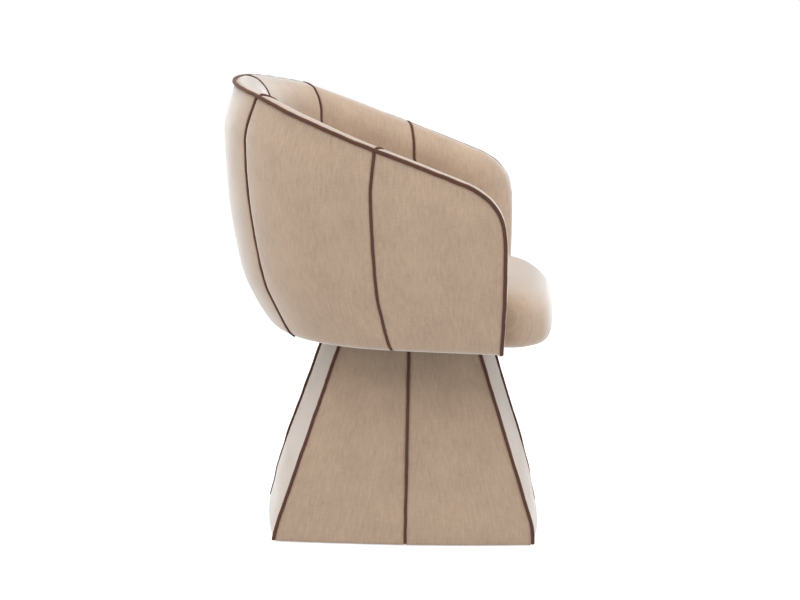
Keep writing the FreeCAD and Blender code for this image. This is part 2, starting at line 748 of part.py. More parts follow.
save("upper_bolts", Part.makeCompound(bolts))
save("upper_tee_nuts", Part.makeCompound(tnuts))

# Seat cushion: filled form between the inner walls, with a nose hanging over the board


def cushion_outline(level, nose_steps=9, wall_steps=26):
    """Closed outline of the cushion at one level: along the wall, then round the nose."""
    height, side_inset, nose_inset = level
    half = []
    start = CREST_REACH + 0.6 * side_inset
    for i in range(wall_steps + 1):
        run = PLAN_LENGTH + (start - PLAN_LENGTH) * i / wall_steps
        depth = section(max(run, CREST_REACH), 0.0)[0] + CUSHION_GAP
        p = wall(run, max(height, TUB_BOTTOM), depth + side_inset, 1)
        half.append((-p.y, p.x))
    corner = half[-1]
    nose = NOSE_FRONT - nose_inset
    spread = NOSE_SPREAD * (1.0 - min(1.0, side_inset / 60.0))
    for j in range(1, nose_steps + 1):
        a = math.pi / 2 * (1.0 - j / nose_steps)
        forward = corner[0] + (nose - corner[0]) * max(math.cos(a), 0.0) ** (2.0 / NOSE_POWER)
        left = corner[1] * max(math.sin(a), 0.0) ** (2.0 / NOSE_POWER)
        fade = 1.0 - ease((forward - RIM_FRONT - 15.0) / 50.0)
        left = left + spread * ease((forward - corner[0]) / 55.0) * fade
        half.append((forward, left))
    half[0] = (half[0][0], 0.0)
    half[-1] = (half[-1][0], 0.0)
    points = [world(p[0], p[1], height) for p in half]
    return points + [world(p[0], -p[1], height) for p in half[-2:0:-1]]


def cushion_levels(step):
    """The cushion levels filled in so that the nose profile is cut at an even step."""
    dense = []
    for a, b in zip(CUSHION, CUSHION[1:]):
        for i in range(8):
            z = a[0] + (b[0] - a[0]) * i / 8.0
            dense.append((z, table([(c[0], c[1]) for c in CUSHION], z),
                          table([(c[0], c[2]) for c in CUSHION], z)))
    dense.append(CUSHION[-1])
    length = sum(math.dist(a, b) for a, b in zip(dense, dense[1:]))
    count = round(length / step)
    return [along(dense, i / count) for i in range(count + 1)]


cushion = loft([cushion_outline(level) for level in cushion_levels(11.0)])
behind = Part.makeBox(800.0, 800.0, 40.0,
                      Vector(-400.0, -(RIM_FRONT + 8.0), BOARD_TOP + TOUCH - 40.0))
cushion = cushion.cut(behind).cut(board_room())
if len(cushion.Solids) > 1:
    cushion = max(cushion.Solids, key=lambda s: s.Volume)
save("seat_cushion", cushion)

# Cloth stapled under the seat board, with a hole for the swivel plate
cloth = prism([board_outline(SEAT_BOARD_BOTTOM - CLOTH, 6.0), board_outline(SEAT_BOARD_BOTTOM, 6.0)])
hole = PLATE_HALF + 4.0
cloth = cloth.cut(Part.makeBox(2 * hole, 2 * hole, 10.0, Vector(-hole, -hole, SEAT_BOARD_BOTTOM - 5.0)))
save("seat_dust_cloth", cloth)


# Swivel: two pressed plates with a ring of balls between two races, held by a hollow pivot
def plate(bottom, thickness):
    """Square plate with rounded corners."""
    block = Part.makeBox(2 * PLATE_HALF, 2 * PLATE_HALF, thickness,
                         Vector(-PLATE_HALF, -PLATE_HALF, bottom))
    upright = [e for e in block.Edges if abs(e.Vertexes[0].Z - e.Vertexes[1].Z) > thickness / 2]
    return block.makeFillet(PLATE_CORNER, upright)


def race(bottom, top, middle):
    """Ring with the ball groove cut into it."""
    ring = cylinder(RACE_OUTER, top - bottom, Vector(0, 0, bottom))
    ring = ring.cut(cylinder(RACE_INNER, top - bottom, Vector(0, 0, bottom)))
    return ring.cut(Part.makeTorus((RACE_OUTER + RACE_INNER) / 2, BALL_RADIUS, Vector(0, 0, middle)))


BALL_HEIGHT = (LOWER_PLATE_TOP + UPPER_PLATE_BOTTOM) / 2
lower = plate(BASE_HEIGHT, PLATE)
lower = lower.fuse(race(LOWER_PLATE_TOP - 0.5, BALL_HEIGHT - RUNNING, BALL_HEIGHT)).removeSplitter()
lower = lower.cut(cylinder(PIVOT_RADIUS, 10.0, Vector(0, 0, BASE_HEIGHT - 2.0)))
upper = plate(UPPER_PLATE_BOTTOM, PLATE)
upper = upper.fuse(race(BALL_HEIGHT + RUNNING, UPPER_PLATE_BOTTOM + 0.5,
                        BALL_HEIGHT + RUNNING)).removeSplitter()
upper = upper.cut(cylinder(PIVOT_RADIUS + RUNNING, 10.0, Vector(0, 0, UPPER_PLATE_BOTTOM - 2.0)))
base_screws = []
top_board_holes = []
for x, y in CORNERS:
    lower = lower.cut(cylinder(BOLT_RADIUS, 10.0, Vector(x, y, BASE_HEIGHT - 2.0)))
    upper = upper.cut(cylinder(BOLT_RADIUS + SHANK_FIT, 10.0, Vector(x, y, UPPER_PLATE_BOTTOM - 2.0)))
    head = cylinder(HEAD_RADIUS, HEAD_HEIGHT, Vector(x, y, LOWER_PLATE_TOP))
    shank = cylinder(BOLT_RADIUS, PLATE + 15.0, Vector(x, y, LOWER_PLATE_TOP - PLATE - 15.0))
    base_screws.append(head.fuse(shank))
    top_board_holes.append(cylinder(BOLT_RADIUS, 16.0, Vector(x, y, BASE_HEIGHT - 15.0)))
pivot = cylinder(PIVOT_RADIUS, SEAT_BOARD_BOTTOM - BASE_HEIGHT + RUNNING, Vector(0, 0, BASE_HEIGHT))
pivot = pivot.fuse(cylinder(PIVOT_FLANGE, 2.0, Vector(0, 0, SEAT_BOARD_BOTTOM + RUNNING)))
pivot = pivot.fuse(cylinder(PIVOT_RADIUS + 4.0, 1.5, Vector(0, 0, LOWER_PLATE_TOP)))
pivot = pivot.cut(cylinder(PIVOT_BORE, 60.0, Vector(0, 0, BASE_HEIGHT - 10.0)))
balls = []
for i in range(BALL_COUNT):
    a = 2 * math.pi * i / BALL_COUNT
    ring = (RACE_OUTER + RACE_INNER) / 2
    centre = Vector(ring * math.cos(a), ring * math.sin(a), BALL_HEIGHT)
    balls.append(Part.makeSphere(BALL_RADIUS, centre))
save("swivel_upper_plate", upper)

# Base: faces numbered round from the front, each with a half to its left and right
FACES = [("front", 0.0, CROWN_ENDS), ("left", 90.0, CROWN_SIDES),
         ("back", 180.0, CROWN_ENDS), ("right", 270.0, CROWN_SIDES)]


def base_half(height):
    """Half width of the base on its corner seams at a height."""
    return BASE_FOOT_HALF + (BASE_TOP_HALF - BASE_FOOT_HALF) * height / BASE_HEIGHT


def turned(out, across, height, angle):
    """Point of a base face: out from the axis and across to the left, turned with the base."""
    a = math.radians(angle + BASE_TURN)
    return world(out * math.cos(a) - across * math.sin(a),
                 out * math.sin(a) + across * math.cos(a), height)


def foot_tuck(height):
    """How far the foot of the cover is rounded in at a height."""
    over = max(0.0, COVER_FOOT + BASE_FOOT_ROUND - height)
    return BASE_FOOT_ROUND - math.sqrt(max(BASE_FOOT_ROUND ** 2 - over ** 2, 0.0))


def base_point(across, height, depth, angle, crown):
    """Skin of a base face: a plane swelling from the corner seams to the middle of the face."""
    half = base_half(height)
    grown = CROWN_FOOT + (1.0 - CROWN_FOOT) * ease(height / CROWN_FADE)
    swollen = crown * grown * (1.0 - abs(across / half) ** 2.4)
    if depth == 0.0:
        return turned(half + swollen - foot_tuck(height), across, height, angle)
    return turned(half - depth, across, height, angle)


COVER_HEIGHTS = [COVER_FOOT, 4.0, 7.0, 11.0, 20.0, 40.0, 70.0, 110.0, 160.0, 220.0, 275.0, 310.0,
                 BASE_HEIGHT]
CORNER_TRIM = 2.4
CORNER_PROUD = 0.4
for name, angle, crown in FACES:
    for half_name, sign in (("a", 1), ("b", -1)):
        outer = []
        inner = []
        for i in range(10):
            share = i / 9.0
            row = []
            lining = []
            for z in COVER_HEIGHTS:
                reach = base_half(z) - CORNER_TRIM - foot_tuck(z)
                at = SEAM_TRIM + (reach - SEAM_TRIM) * share
                row.append(base_point(sign * at, z, 0.0, angle, crown))
                hidden = base_half(z) - BASE_PAD - TOUCH
                at = SEAM_TRIM + (hidden - SEAM_TRIM) * share
                lining.append(base_point(sign * at, z, BASE_PAD, angle, crown))
            outer.append(row)
            inner.append(lining)
        save("base_panel_" + name + "_" + half_name, slab(outer, inner))
    centre = []
    corner = []
    for i in range(81):
        z = COVER_FOOT + 4.0 + (BASE_HEIGHT - COVER_FOOT - 5.0) * i / 80.0
        p = base_point(0.0, z, 0.0, angle, crown)
        q = turned(0.0, 0.0, z, angle)
        way = q - p
        way.normalize()
        centre.append(p + way * CORD_SINK)
        half = base_half(z)
        out = half + CORNER_PROUD - foot_tuck(z)
        corner.append(turned(out, out, z, angle))
    save("base_seam_piping_" + name, tube(centre, SEAM_PIPING))
    save("base_corner_piping_" + name, tube(corner, BASE_PIPING))


def square(height, out, across, angle=0.0):
    """Corners of a rectangle about the axis, turned with the base."""
    return [turned(sx * out, sy * across, height, angle)
            for sx, sy in ((-1, -1), (1, -1), (1, 1), (-1, 1))]


BOARD_FOOT = FOOT_CLEARANCE
TOP_UNDER = BASE_HEIGHT - BASE_TOP_BOARD
BOARD_OUT = BASE_PAD + TOUCH
BOARD_IN = BOARD_OUT + BASE_BOARD
for name, angle, crown in FACES:
    ends = name in ("front", "back")
    outline = []
    for z in (BOARD_FOOT, TOP_UNDER):
        half = base_half(z)
        across = half - BOARD_IN if ends else half - BOARD_OUT
        outline.append([turned(out, s * across, z, angle) for out, s in (
            (half - BOARD_IN, -1), (half - BOARD_OUT, -1), (half - BOARD_OUT, 1), (half - BOARD_IN, 1))])
    save("base_side_" + name, prism(outline))

top_board = prism([square(TOP_UNDER, base_half(TOP_UNDER) - BOARD_OUT, base_half(TOP_UNDER) - BOARD_OUT),
                   square(BASE_HEIGHT, base_half(BASE_HEIGHT) - BOARD_OUT,
                          base_half(BASE_HEIGHT) - BOARD_OUT)])
for hole in top_board_holes:
    top_board = top_board.cut(hole)
save("base_top_board", top_board)

FOOT_TOP = BOARD_FOOT + BASE_BOARD
low = base_half(BOARD_FOOT) - BOARD_IN
high = base_half(FOOT_TOP) - BOARD_IN
foot_board = prism([square(BOARD_FOOT, low, low), square(FOOT_TOP, high, high)])

save("base_foot_board", foot_board)

cloth = prism([square(BOARD_FOOT - CLOTH, low + 8.0, low + 8.0), square(BOARD_FOOT, low + 8.0, low + 8.0)])
save("base_dust_cloth", cloth)

# Rubber pad that the base stands on, under the whole foot board
pad = low - PAD_INSET
foot_pad = prism([square(0.0, pad, pad), square(BOARD_FOOT - CLOTH, pad, pad)])
save("base_foot_pad", foot_pad)
save("swivel_lower_plate", lower)
save("swivel_pivot", pivot)
save("swivel_balls", Part.makeCompound(balls))
save("lower_screws", Part.makeCompound(base_screws))
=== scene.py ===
import bpy
import numpy as np
from mathutils import Matrix


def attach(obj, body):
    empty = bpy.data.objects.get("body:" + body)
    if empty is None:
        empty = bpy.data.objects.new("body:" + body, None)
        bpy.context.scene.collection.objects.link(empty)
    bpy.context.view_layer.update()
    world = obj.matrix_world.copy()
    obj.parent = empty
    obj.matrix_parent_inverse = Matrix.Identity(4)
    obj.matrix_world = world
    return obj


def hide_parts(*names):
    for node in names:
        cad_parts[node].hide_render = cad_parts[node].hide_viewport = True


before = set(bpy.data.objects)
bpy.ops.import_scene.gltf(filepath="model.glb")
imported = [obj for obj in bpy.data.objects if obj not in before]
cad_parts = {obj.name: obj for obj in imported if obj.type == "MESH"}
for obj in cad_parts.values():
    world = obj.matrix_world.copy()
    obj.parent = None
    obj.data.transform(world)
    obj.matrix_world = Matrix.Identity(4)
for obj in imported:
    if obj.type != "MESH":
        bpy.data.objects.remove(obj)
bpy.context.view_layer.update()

# Camera. It stands a little higher than the top of the back, off the right arm of the chair,
# and looks slightly down; it leans a little, as it did for the photograph.
EYE = (-2442.4, -196.5, 897.6)      # millimetres
EYE_TURN = 0.0866
EYE_DROP = 0.2068
EYE_LEAN = 0.0277
EYE_REACH = 1369.97     # focal length in pixels of a frame that wide
FRAME_WIDTH = 800.0
SENSOR = 36.0


def aim(turn, drop, lean):
    """Columns right, up and back of a camera turned from +X, dropped and then leant (radians)."""
    out = np.array((np.cos(turn) * np.cos(drop), np.sin(turn) * np.cos(drop), -np.sin(drop)))
    level = np.array((np.sin(turn), -np.cos(turn), 0.0))
    over = np.cross(level, out)
    right = np.cos(lean) * level + np.sin(lean) * over
    up = np.cos(lean) * over - np.sin(lean) * level
    return np.column_stack((right, up, -out))


camera = bpy.data.objects.new("camera", bpy.data.cameras.new("camera"))
bpy.context.scene.collection.objects.link(camera)
bpy.context.scene.camera = camera
camera.data.sensor_width = SENSOR
camera.data.lens = SENSOR * EYE_REACH / FRAME_WIDTH
camera.data.clip_start = 0.05
camera.data.clip_end = 60.0
camera.matrix_world = (Matrix.Translation([c / 1000.0 for c in EYE])
                       @ Matrix(aim(EYE_TURN, EYE_DROP, EYE_LEAN).tolist()).to_4x4())

# Outer panels of the tub. Beige linen weave over a thin pad on a bent plywood shell: arm, side
# and back panel on each half, sewn to the piping at every seam and to the rim piping on top.
# Lengths are millimetres; run is the length along the rim in plan, from the arm front to the back.
RIM_BACK = 312.0
RIM_WIDEST = 28.0
RIM_FRONT = 178.0
RIM_HALF_WIDTH = 292.0
RIM_POWER = 2.4
ARM_TOE_IN = 5.0
PLAN_STEPS = (600, 1800)        # points along the arm and round the back
RIM_SIDE = [            # (forward, height)
    (175.5, 300.0), (176.0, 346.0), (177.5, 400.0), (178.0, 455.0), (176.8, 510.0),
    (175.0, 545.0), (171.5, 568.0), (165.0, 586.0), (155.0, 601.0), (143.0, 613.0),
    (124.0, 625.5), (99.0, 636.0), (60.0, 650.0), (21.0, 664.0), (-67.0, 694.0),
    (-165.0, 730.0), (-253.0, 762.0), (-312.0, 778.0),
]
RIM_CORNER = (160.0, 594.0)         # where the arm front turns into the arm top
RIM_STEPS = 24          # points between two knots of the rim
RIM_TAIL = 60
RIM_STRIDE = 3          # distances to the rim are taken to every third point, in batches
BATCH = 4000
WAIST = [               # (height, size of the wall in plan as a share of the rim)
    (346.0, 0.845), (362.0, 0.873), (397.0, 0.912), (447.0, 0.959),
    (531.0, 0.996), (590.0, 1.013), (663.0, 1.024), (720.0, 1.028), (800.0, 1.030),
]
RIM_BLEND = 78.0        # height under the rim over which the swell fades in
SEAM_SWING = 14.0       # how far the back corner seam leaves its upright line
SWING_SPREAD = 150.0
SWING_START = 25.0
SWING_LOW = 300.0
SWING_HIGH = 630.0
TUB_BOTTOM = 346.0
BOTTOM_ROUND = 12.0
SEAM_ARM = -38.0
SEAM_CORNER = -240.0
PILLOW_OUTER = 4.5
PILLOW_FADE = 60.0
PILLOW_POWER = 0.7      # below 1 the pillow rises steeply at its seams
PANEL_STEP = 3.0
WAVES = 7
WAVE_STRETCH = (0.7, 1.6)
WAVE_SUM = 3.2          # brings a sum of that many waves back to about 1
NORMAL_STEP = 2.0       # half the run over which the normal of the wall is taken
TUB_MIDDLE = -60.0      # forward place of a point well inside the tub


def ease(t):
    """Smooth step 3t^2 - 2t^3, with t held between 0 and 1."""
    t = np.clip(t, 0.0, 1.0)
    return t * t * (3.0 - 2.0 * t)


def cubic_span(x, low, high, x0, x1, m0, m1):
    """Cubic from low to high over x0..x1 with slopes m0 and m1 at its ends."""
    h = x1 - x0
    t = (x - x0) / h
    return (low * (1 + 2 * t) * (1 - t) ** 2 + h * m0 * t * (1 - t) ** 2
            + high * t * t * (3 - 2 * t) + h * m1 * t * t * (t - 1))


def table(rows, x):
    """Cubic through (x, y) rows whose slopes are harmonic means, so that it never overshoots."""
    xs, ys = np.array(rows).T
    x = np.clip(x, xs[0], xs[-1])
    rise = np.diff(ys) / np.diff(xs)
    mixed = rise[:-1] * rise[1:]
    total = np.where(np.abs(rise[:-1] + rise[1:]) < 1e-12, 1.0, rise[:-1] + rise[1:])
    slopes = np.r_[rise[0], np.where(mixed <= 0, 0.0, 2.0 * mixed / total), rise[-1]]
    i = np.clip(np.searchsorted(xs, x) - 1, 0, len(xs) - 2)
    return cubic_span(x, ys[i], ys[i + 1], xs[i], xs[i + 1], slopes[i], slopes[i + 1])


def measured(points):
    """Length along a line of points, starting at 0."""
    return np.r_[0.0, np.cumsum(np.linalg.norm(np.diff(points, axis=0), axis=1))]


def along(points, share):
    """Points at shares of the length of a line of points."""
    length = measured(points)
    return np.stack([np.interp(share * length[-1], length, column) for column in points.T], -1)


def half_plan():
    """Rim in plan, nearly straight arm then quarter superellipse: rows of (forward, left)."""
    forward = np.linspace(RIM_FRONT, -RIM_WIDEST, PLAN_STEPS[0])[:-1]
    share = (forward + RIM_WIDEST) / (RIM_FRONT + RIM_WIDEST)
    arm = np.stack([forward, RIM_HALF_WIDTH - ARM_TOE_IN * share ** 2], -1)
    a = np.linspace(np.pi / 2, 0.0, PLAN_STEPS[1])
    sine, cosine = np.maximum(np.sin(a), 0.0), np.maximum(np.cos(a), 0.0)
    deep = -RIM_WIDEST - (RIM_BACK - RIM_WIDEST) * cosine ** (2.0 / RIM_POWER)
    return np.r_[arm, np.stack([deep, RIM_HALF_WIDTH * sine ** (2.0 / RIM_POWER)], -1)]


PLAN = half_plan()
PLAN_RUN = measured(PLAN)
PLAN_LENGTH = PLAN_RUN[-1]


def plan_point(run):
    """(forward, left) of the rim plan at a run, straight on past the front, mirrored past the back."""
    past = run > PLAN_LENGTH
    run = np.where(past, 2 * PLAN_LENGTH - run, run)
    forward = np.interp(run, PLAN_RUN, PLAN[:, 0]) - np.minimum(run, 0.0)
    left = np.interp(run, PLAN_RUN, PLAN[:, 1])
    return forward, np.where(past, -left, left)


def run_at(forward):
    """Run at which the plan reaches a forward position."""
    return np.interp(-forward, -PLAN[:, 0], PLAN_RUN)


def rim_line():
    """Rim as a dense smooth line of (run, height), foot of the arm front to past the back."""
    knots = [(RIM_FRONT - f if f >= RIM_FRONT else run_at(f), z) for f, z in RIM_SIDE]
    knots = np.array(knots + [(2 * PLAN_LENGTH - knots[-2][0], knots[-2][1])])
    before = np.r_[knots[:1], knots[:-1]]
    after = np.r_[knots[1:], knots[-1:]]
    way = (after - before) / np.linalg.norm(after - before, axis=1)[:, None]
    t = np.linspace(0.0, 1.0, RIM_STEPS, endpoint=False)[None, :, None]
    b, c = knots[:-1, None], knots[1:, None]
    span = np.linalg.norm(c - b, axis=2)[..., None]
    spans = (b * (1 + 2 * t) * (1 - t) ** 2 + c * t * t * (3 - 2 * t)
             + span * (way[:-1, None] * t * (1 - t) ** 2 + way[1:, None] * t * t * (t - 1)))
    return np.r_[spans.reshape(-1, 2), knots[-1:]]


RIM_LINE = rim_line()
RIM_TOP = RIM_LINE[np.argmin(RIM_LINE[:, 0]):]
ARM_RUN = run_at(SEAM_ARM)
CORNER_RUN = run_at(SEAM_CORNER)


def inset_line(inset):
    """The rim line moved inwards, at right angles to itself."""
    way = np.gradient(RIM_LINE, axis=0)
    way /= np.linalg.norm(way, axis=1)[:, None]
    return RIM_LINE + inset * np.stack([way[:, 1], -way[:, 0]], -1)


def height_on(line, run):
    """Height of a line of (run, height) over a run, on its upper part."""
    top = line[np.argmin(line[:, 0]):]
    return np.interp(run, top[:, 0], top[:, 1])


def from_rim(run, height):
    """Distance to the rim line, and the direction towards it in (run, height)."""
    a, b = RIM_LINE[:-1:RIM_STRIDE], RIM_LINE[RIM_STRIDE::RIM_STRIDE]
    a = a[:len(b)]
    spots = np.stack([np.ravel(run), np.ravel(height)], -1)
    gap = np.full(len(spots), 1e9)
    way = np.zeros_like(spots)
    for part in np.array_split(np.arange(len(spots)), max(1, len(spots) // BATCH)):
        p = spots[part, None]
        t = np.clip(((p - a) * (b - a)).sum(-1) / ((b - a) ** 2).sum(-1), 0.0, 1.0)
        to = a + (b - a) * t[..., None] - p
        size = np.linalg.norm(to, axis=-1)
        best = np.argmin(size, axis=1)
        rows = np.arange(len(part))
        gap[part] = size[rows, best]
        way[part] = to[rows, best] / np.maximum(size[rows, best], 1e-6)[:, None]
    shape = np.shape(run)
    return gap.reshape(shape), way[:, 0].reshape(shape), way[:, 1].reshape(shape)


def swung(run, height):
    """Run with the swing of the back corner seam, which leaves backwards and comes back lower down.

    The shift is SEAM_SWING (1 - d^2)^2 (1 - exp(-below / SWING_START)), less towards the foot,
    where d is the distance from the seam as a share of SWING_SPREAD.
    """
    run, height = np.broadcast_arrays(np.asarray(run, float), np.asarray(height, float))
    below = np.interp(run, RIM_TOP[:, 0], RIM_TOP[:, 1]) - height
    near = np.maximum(1.0 - ((run - run_at(SEAM_CORNER)) / SWING_SPREAD) ** 2, 0.0) ** 2
    return run + (SEAM_SWING * near * (1.0 - np.exp(-np.maximum(below, 0.0) / SWING_START))
                  * np.clip((height - SWING_LOW) / (SWING_HIGH - SWING_LOW), 0.0, 1.0))


def wall(run, height, depth, side):
    """Point of the wall: rim plan scaled about the arm front by the waist, depth along its normal."""
    run = swung(run, height)
    forward, left = plan_point(run)
    fa, la = plan_point(run - NORMAL_STEP)
    fb, lb = plan_point(run + NORMAL_STEP)
    size = np.hypot(fb - fa, lb - la)
    normal = np.stack([(lb - la) / size, -(fb - fa) / size])
    flip = np.where(normal[0] * (TUB_MIDDLE - forward) - normal[1] * left < 0, -1.0, 1.0)
    scale = table(WAIST, height)
    top = np.interp(np.clip(run, 1.0, PLAN_LENGTH), RIM_TOP[:, 0], RIM_TOP[:, 1])
    fade = np.where(scale > 1.0, ease((top - height) / RIM_BLEND), 1.0)
    scale = 1.0 + (scale - 1.0) * fade
    forward = RIM_FRONT - (RIM_FRONT - forward) * scale + normal[0] * flip * depth
    left = left * scale + normal[1] * flip * depth
    return np.stack(np.broadcast_arrays(side * left, -forward, height), -1)


def swell(across):
    """Pillow profile over the width of a panel: 4t(1 - t) raised to the pillow's power."""
    return np.maximum(4.0 * across * (1.0 - across), 0.0) ** PILLOW_POWER


def panel_grid(start, stop, inset, trim, columns, rows, bottom):
    """Grids of run, height, across and up over one panel of the half wall.

    start None is the arm front, where the panel follows the rim line down to the foot of the
    tub: there the grid is blended from its four border lines.
    """
    line = inset_line(inset)
    across, up = np.meshgrid(columns, rows, indexing="ij")
    if start is None:
        corner = np.array((run_at(RIM_CORNER[0]), RIM_CORNER[1]))
        turn = np.argmin(np.linalg.norm(line[:-RIM_TAIL] - corner, axis=1))
        foot = np.argmin(np.abs(line[:turn, 1] - bottom))
        last = stop - trim
        over = line[turn:][line[turn:, 0] < last]
        over = np.r_[over, [(last, height_on(line, last))]]
        front = np.r_[[(line[foot, 0], bottom)], line[foot + 1:turn + 1]]
        f0, f1 = along(front, rows)[None], along(over, columns)[:, None]
        s = np.stack([np.full_like(rows, last), bottom + (over[-1, 1] - bottom) * rows], -1)[None]
        g = np.stack([front[0, 0] + (last - front[0, 0]) * columns,
                      np.full_like(columns, bottom)], -1)[:, None]
        a, b = across[..., None], up[..., None]
        corners = ((1 - a) * (1 - b) * front[0] + a * b * over[-1] + (1 - a) * b * over[0]
                   + a * (1 - b) * np.array((last, bottom)))
        spot = (1 - b) * g + b * f1 + (1 - a) * f0 + a * s - corners
        return spot[..., 0], spot[..., 1], across, up
    run = start + trim + (stop - start - 2 * trim) * across
    height = bottom + (height_on(line, run) - bottom) * up
    return run, height, across, up


def waver(x, y, length, seed):
    """Gentle uneven ripple between about -1 and 1: a sum of plane waves of about that length."""
    waves = np.random.default_rng(seed)
    total = 0.0
    for turn, phase, stretch in zip(waves.uniform(0, np.pi, WAVES),
                                    waves.uniform(0, 2 * np.pi, WAVES),
                                    waves.uniform(*WAVE_STRETCH, WAVES)):
        total = total + np.sin((x * np.cos(turn) + y * np.sin(turn)) * 2 * np.pi / length
                               * stretch + phase)
    return total / WAVE_SUM


def rolled_edge(gap, reach, drop):
    """How far a panel sinks into its seam at a distance from it: drop (1 - gap/reach)^2."""
    return drop * np.clip(1.0 - gap / reach, 0.0, 1.0) ** 2


def puckers(gap, x, y, length, seed):
    """Small ripples beside a seam that die out with the distance from it: exp(-gap / reach)."""
    return PUCKER * np.exp(-gap / PUCKER_REACH) * waver(x, y, length, seed)


def piece(name, points, faces):
    """Smooth mesh object from points in millimetres and faces."""
    mesh = bpy.data.meshes.new(name)
    mesh.from_pydata((points / 1000.0).tolist(), [], faces)
    mesh.polygons.foreach_set("use_smooth", np.full(len(mesh.polygons), True))
    mesh.update()
    obj = bpy.data.objects.new(name, mesh)
    bpy.context.scene.collection.objects.link(obj)
    return obj


def lattice(n, m, first=0, flip=False):
    """Quads of an n by m grid of points numbered row by row from first."""
    index = first + np.arange(n * m).reshape(n, m)
    quads = np.stack([index[:-1, :-1], index[1:, :-1], index[1:, 1:], index[:-1, 1:]], -1)
    quads = quads.reshape(-1, 4)
    return quads[:, ::-1] if flip else quads


def tube_faces(n, m, flip=False):
    """Faces of n rings of m points and of the fans to its two end points, which come last."""
    index = np.arange(n * m).reshape(n, m)
    beside = np.roll(index, -1, axis=1)
    quads = np.stack([index[:-1], index[1:], beside[1:], beside[:-1]], -1).reshape(-1, 4)
    fans = np.r_[np.stack([np.full(m, n * m), index[0], beside[0]], -1),
                 np.stack([np.full(m, n * m + 1), beside[-1], index[-1]], -1)]
    faces = quads.tolist() + fans.tolist()
    return [face[:1] + face[:0:-1] for face in faces] if flip else faces


def lay_weave(obj, corners):
    """UV map Weave in metres along the cloth, from one (across, along) pair in millimetres a point."""
    layer = obj.data.uv_layers.new(name="Weave")
    spots = np.zeros(len(obj.data.loops), dtype=np.int64)
    obj.data.loops.foreach_get("vertex_index", spots)
    layer.data.foreach_set("uv", (corners[spots] / 1000.0).astype(np.float32).ravel())


def stuffed(name, outer, inner, weave):
    """Closed pad: outer grid, inner grid behind it and a band round their borders."""
    n, m = outer.shape[:2]
    size = n * m
    points = np.r_[outer.reshape(-1, 3), inner.reshape(-1, 3)]
    index = np.arange(size).reshape(n, m)
    ring = np.r_[index[:-1, 0], index[-1, :-1], index[:0:-1, -1], index[0, :0:-1]]
    after = np.roll(ring, -1)
    band = np.stack([after, ring, ring + size, after + size], -1)
    faces = np.r_[lattice(n, m), lattice(n, m, size, True), band]
    way = np.cross(outer[n // 2 + 1, m // 2] - outer[n // 2, m // 2],
                   outer[n // 2, m // 2 + 1] - outer[n // 2, m // 2])
    if way @ (outer[n // 2, m // 2] - inner[n // 2, m // 2]) < 0:
        faces = faces[:, ::-1]
    obj = piece(name, points, faces.tolist())
    lay_weave(obj, np.r_[weave.reshape(-1, 2), weave.reshape(-1, 2)])
    return obj


def weave_lines(outer, side):
    """Cloth coordinates of a grid: mean length along it in both directions."""
    n, m = outer.shape[:2]
    across = np.zeros((n, m))
    across[1:] = np.cumsum(np.linalg.norm(np.diff(outer, axis=0), axis=2), axis=0)
    up = np.zeros((n, m))
    up[:, 1:] = np.cumsum(np.linalg.norm(np.diff(outer, axis=1), axis=2), axis=1)
    middle = across[:, m // 2][:, None] + 0.0 * up
    return np.stack([side * middle, up], -1)


PANELS = [("arm", None, ARM_RUN), ("side", ARM_RUN, CORNER_RUN), ("back", CORNER_RUN, PLAN_LENGTH)]
SIDES = [("left", 1.0), ("right", -1.0)]
SEAM_TUCK = 0.7         # gap between a seam's line and the edge of the cloth
SEAM_REACH = 6.0        # how near a seam the cloth starts to roll under, and how deep it goes
SEAM_DROP = 3.0
RIM_REACH = 7.0
RIM_DROP = 3.4
RIPPLE = 0.3            # height of the slow ripple of a panel, and how much it is drawn out upwards
RIPPLE_UP = 0.6
OUTER_RIPPLE = 95.0     # lengths of the ripples and of the puckers beside the seams
INNER_RIPPLE = 80.0
PUCKER = 0.2
PUCKER_REACH = 9.0
OUTER_PUCKER = 17.0
INNER_PUCKER = 15.0
TOP_FADE = 5.0          # the pillow ends over the top fifth of a panel
OUTER_INSET = 1.0       # how far the edge of the cloth stays inside the rim line
OUTER_DEEP = 13.2
OUTER_TALL = 380.0
OUTER_CROWDING = 1.12   # above 1 the rows stand closer together towards the rim
OUTER_SEEDS = {"left": 11, "right": 12}
INNER_SEEDS = {"left": 21, "right": 22}


def foot_round(height):
    """How far the foot of the tub is rounded in at a height: a quarter circle."""
    over = np.maximum(0.0, TUB_BOTTOM + BOTTOM_ROUND - height)
    return BOTTOM_ROUND - np.sqrt(np.maximum(BOTTOM_ROUND ** 2 - over ** 2, 0.0))


def outer_depth(run, height, across, up, seams, seed):
    """Depth of an outer panel under the wall: pillow, rolled edges and puckers at its seams."""
    over_foot = ease((height - TUB_BOTTOM) / PILLOW_FADE)
    lift = PILLOW_OUTER * swell(across) * ease((1.0 - up) * TOP_FADE) * over_foot
    lift = lift + RIPPLE * waver(run, height * RIPPLE_UP, OUTER_RIPPLE, seed) * swell(across)
    roll = rolled_edge(from_rim(run, height)[0], RIM_REACH, RIM_DROP)
    for seam in seams:
        gap = np.abs(run - seam)
        roll = (roll + rolled_edge(gap, SEAM_REACH, SEAM_DROP)
                + puckers(gap, height, gap, OUTER_PUCKER, seed))
    return foot_round(height) - lift + roll


def even(length):
    """Shares along a side of that length, a panel step apart."""
    return np.linspace(0.0, 1.0, int(round(length / PANEL_STEP)) + 1)


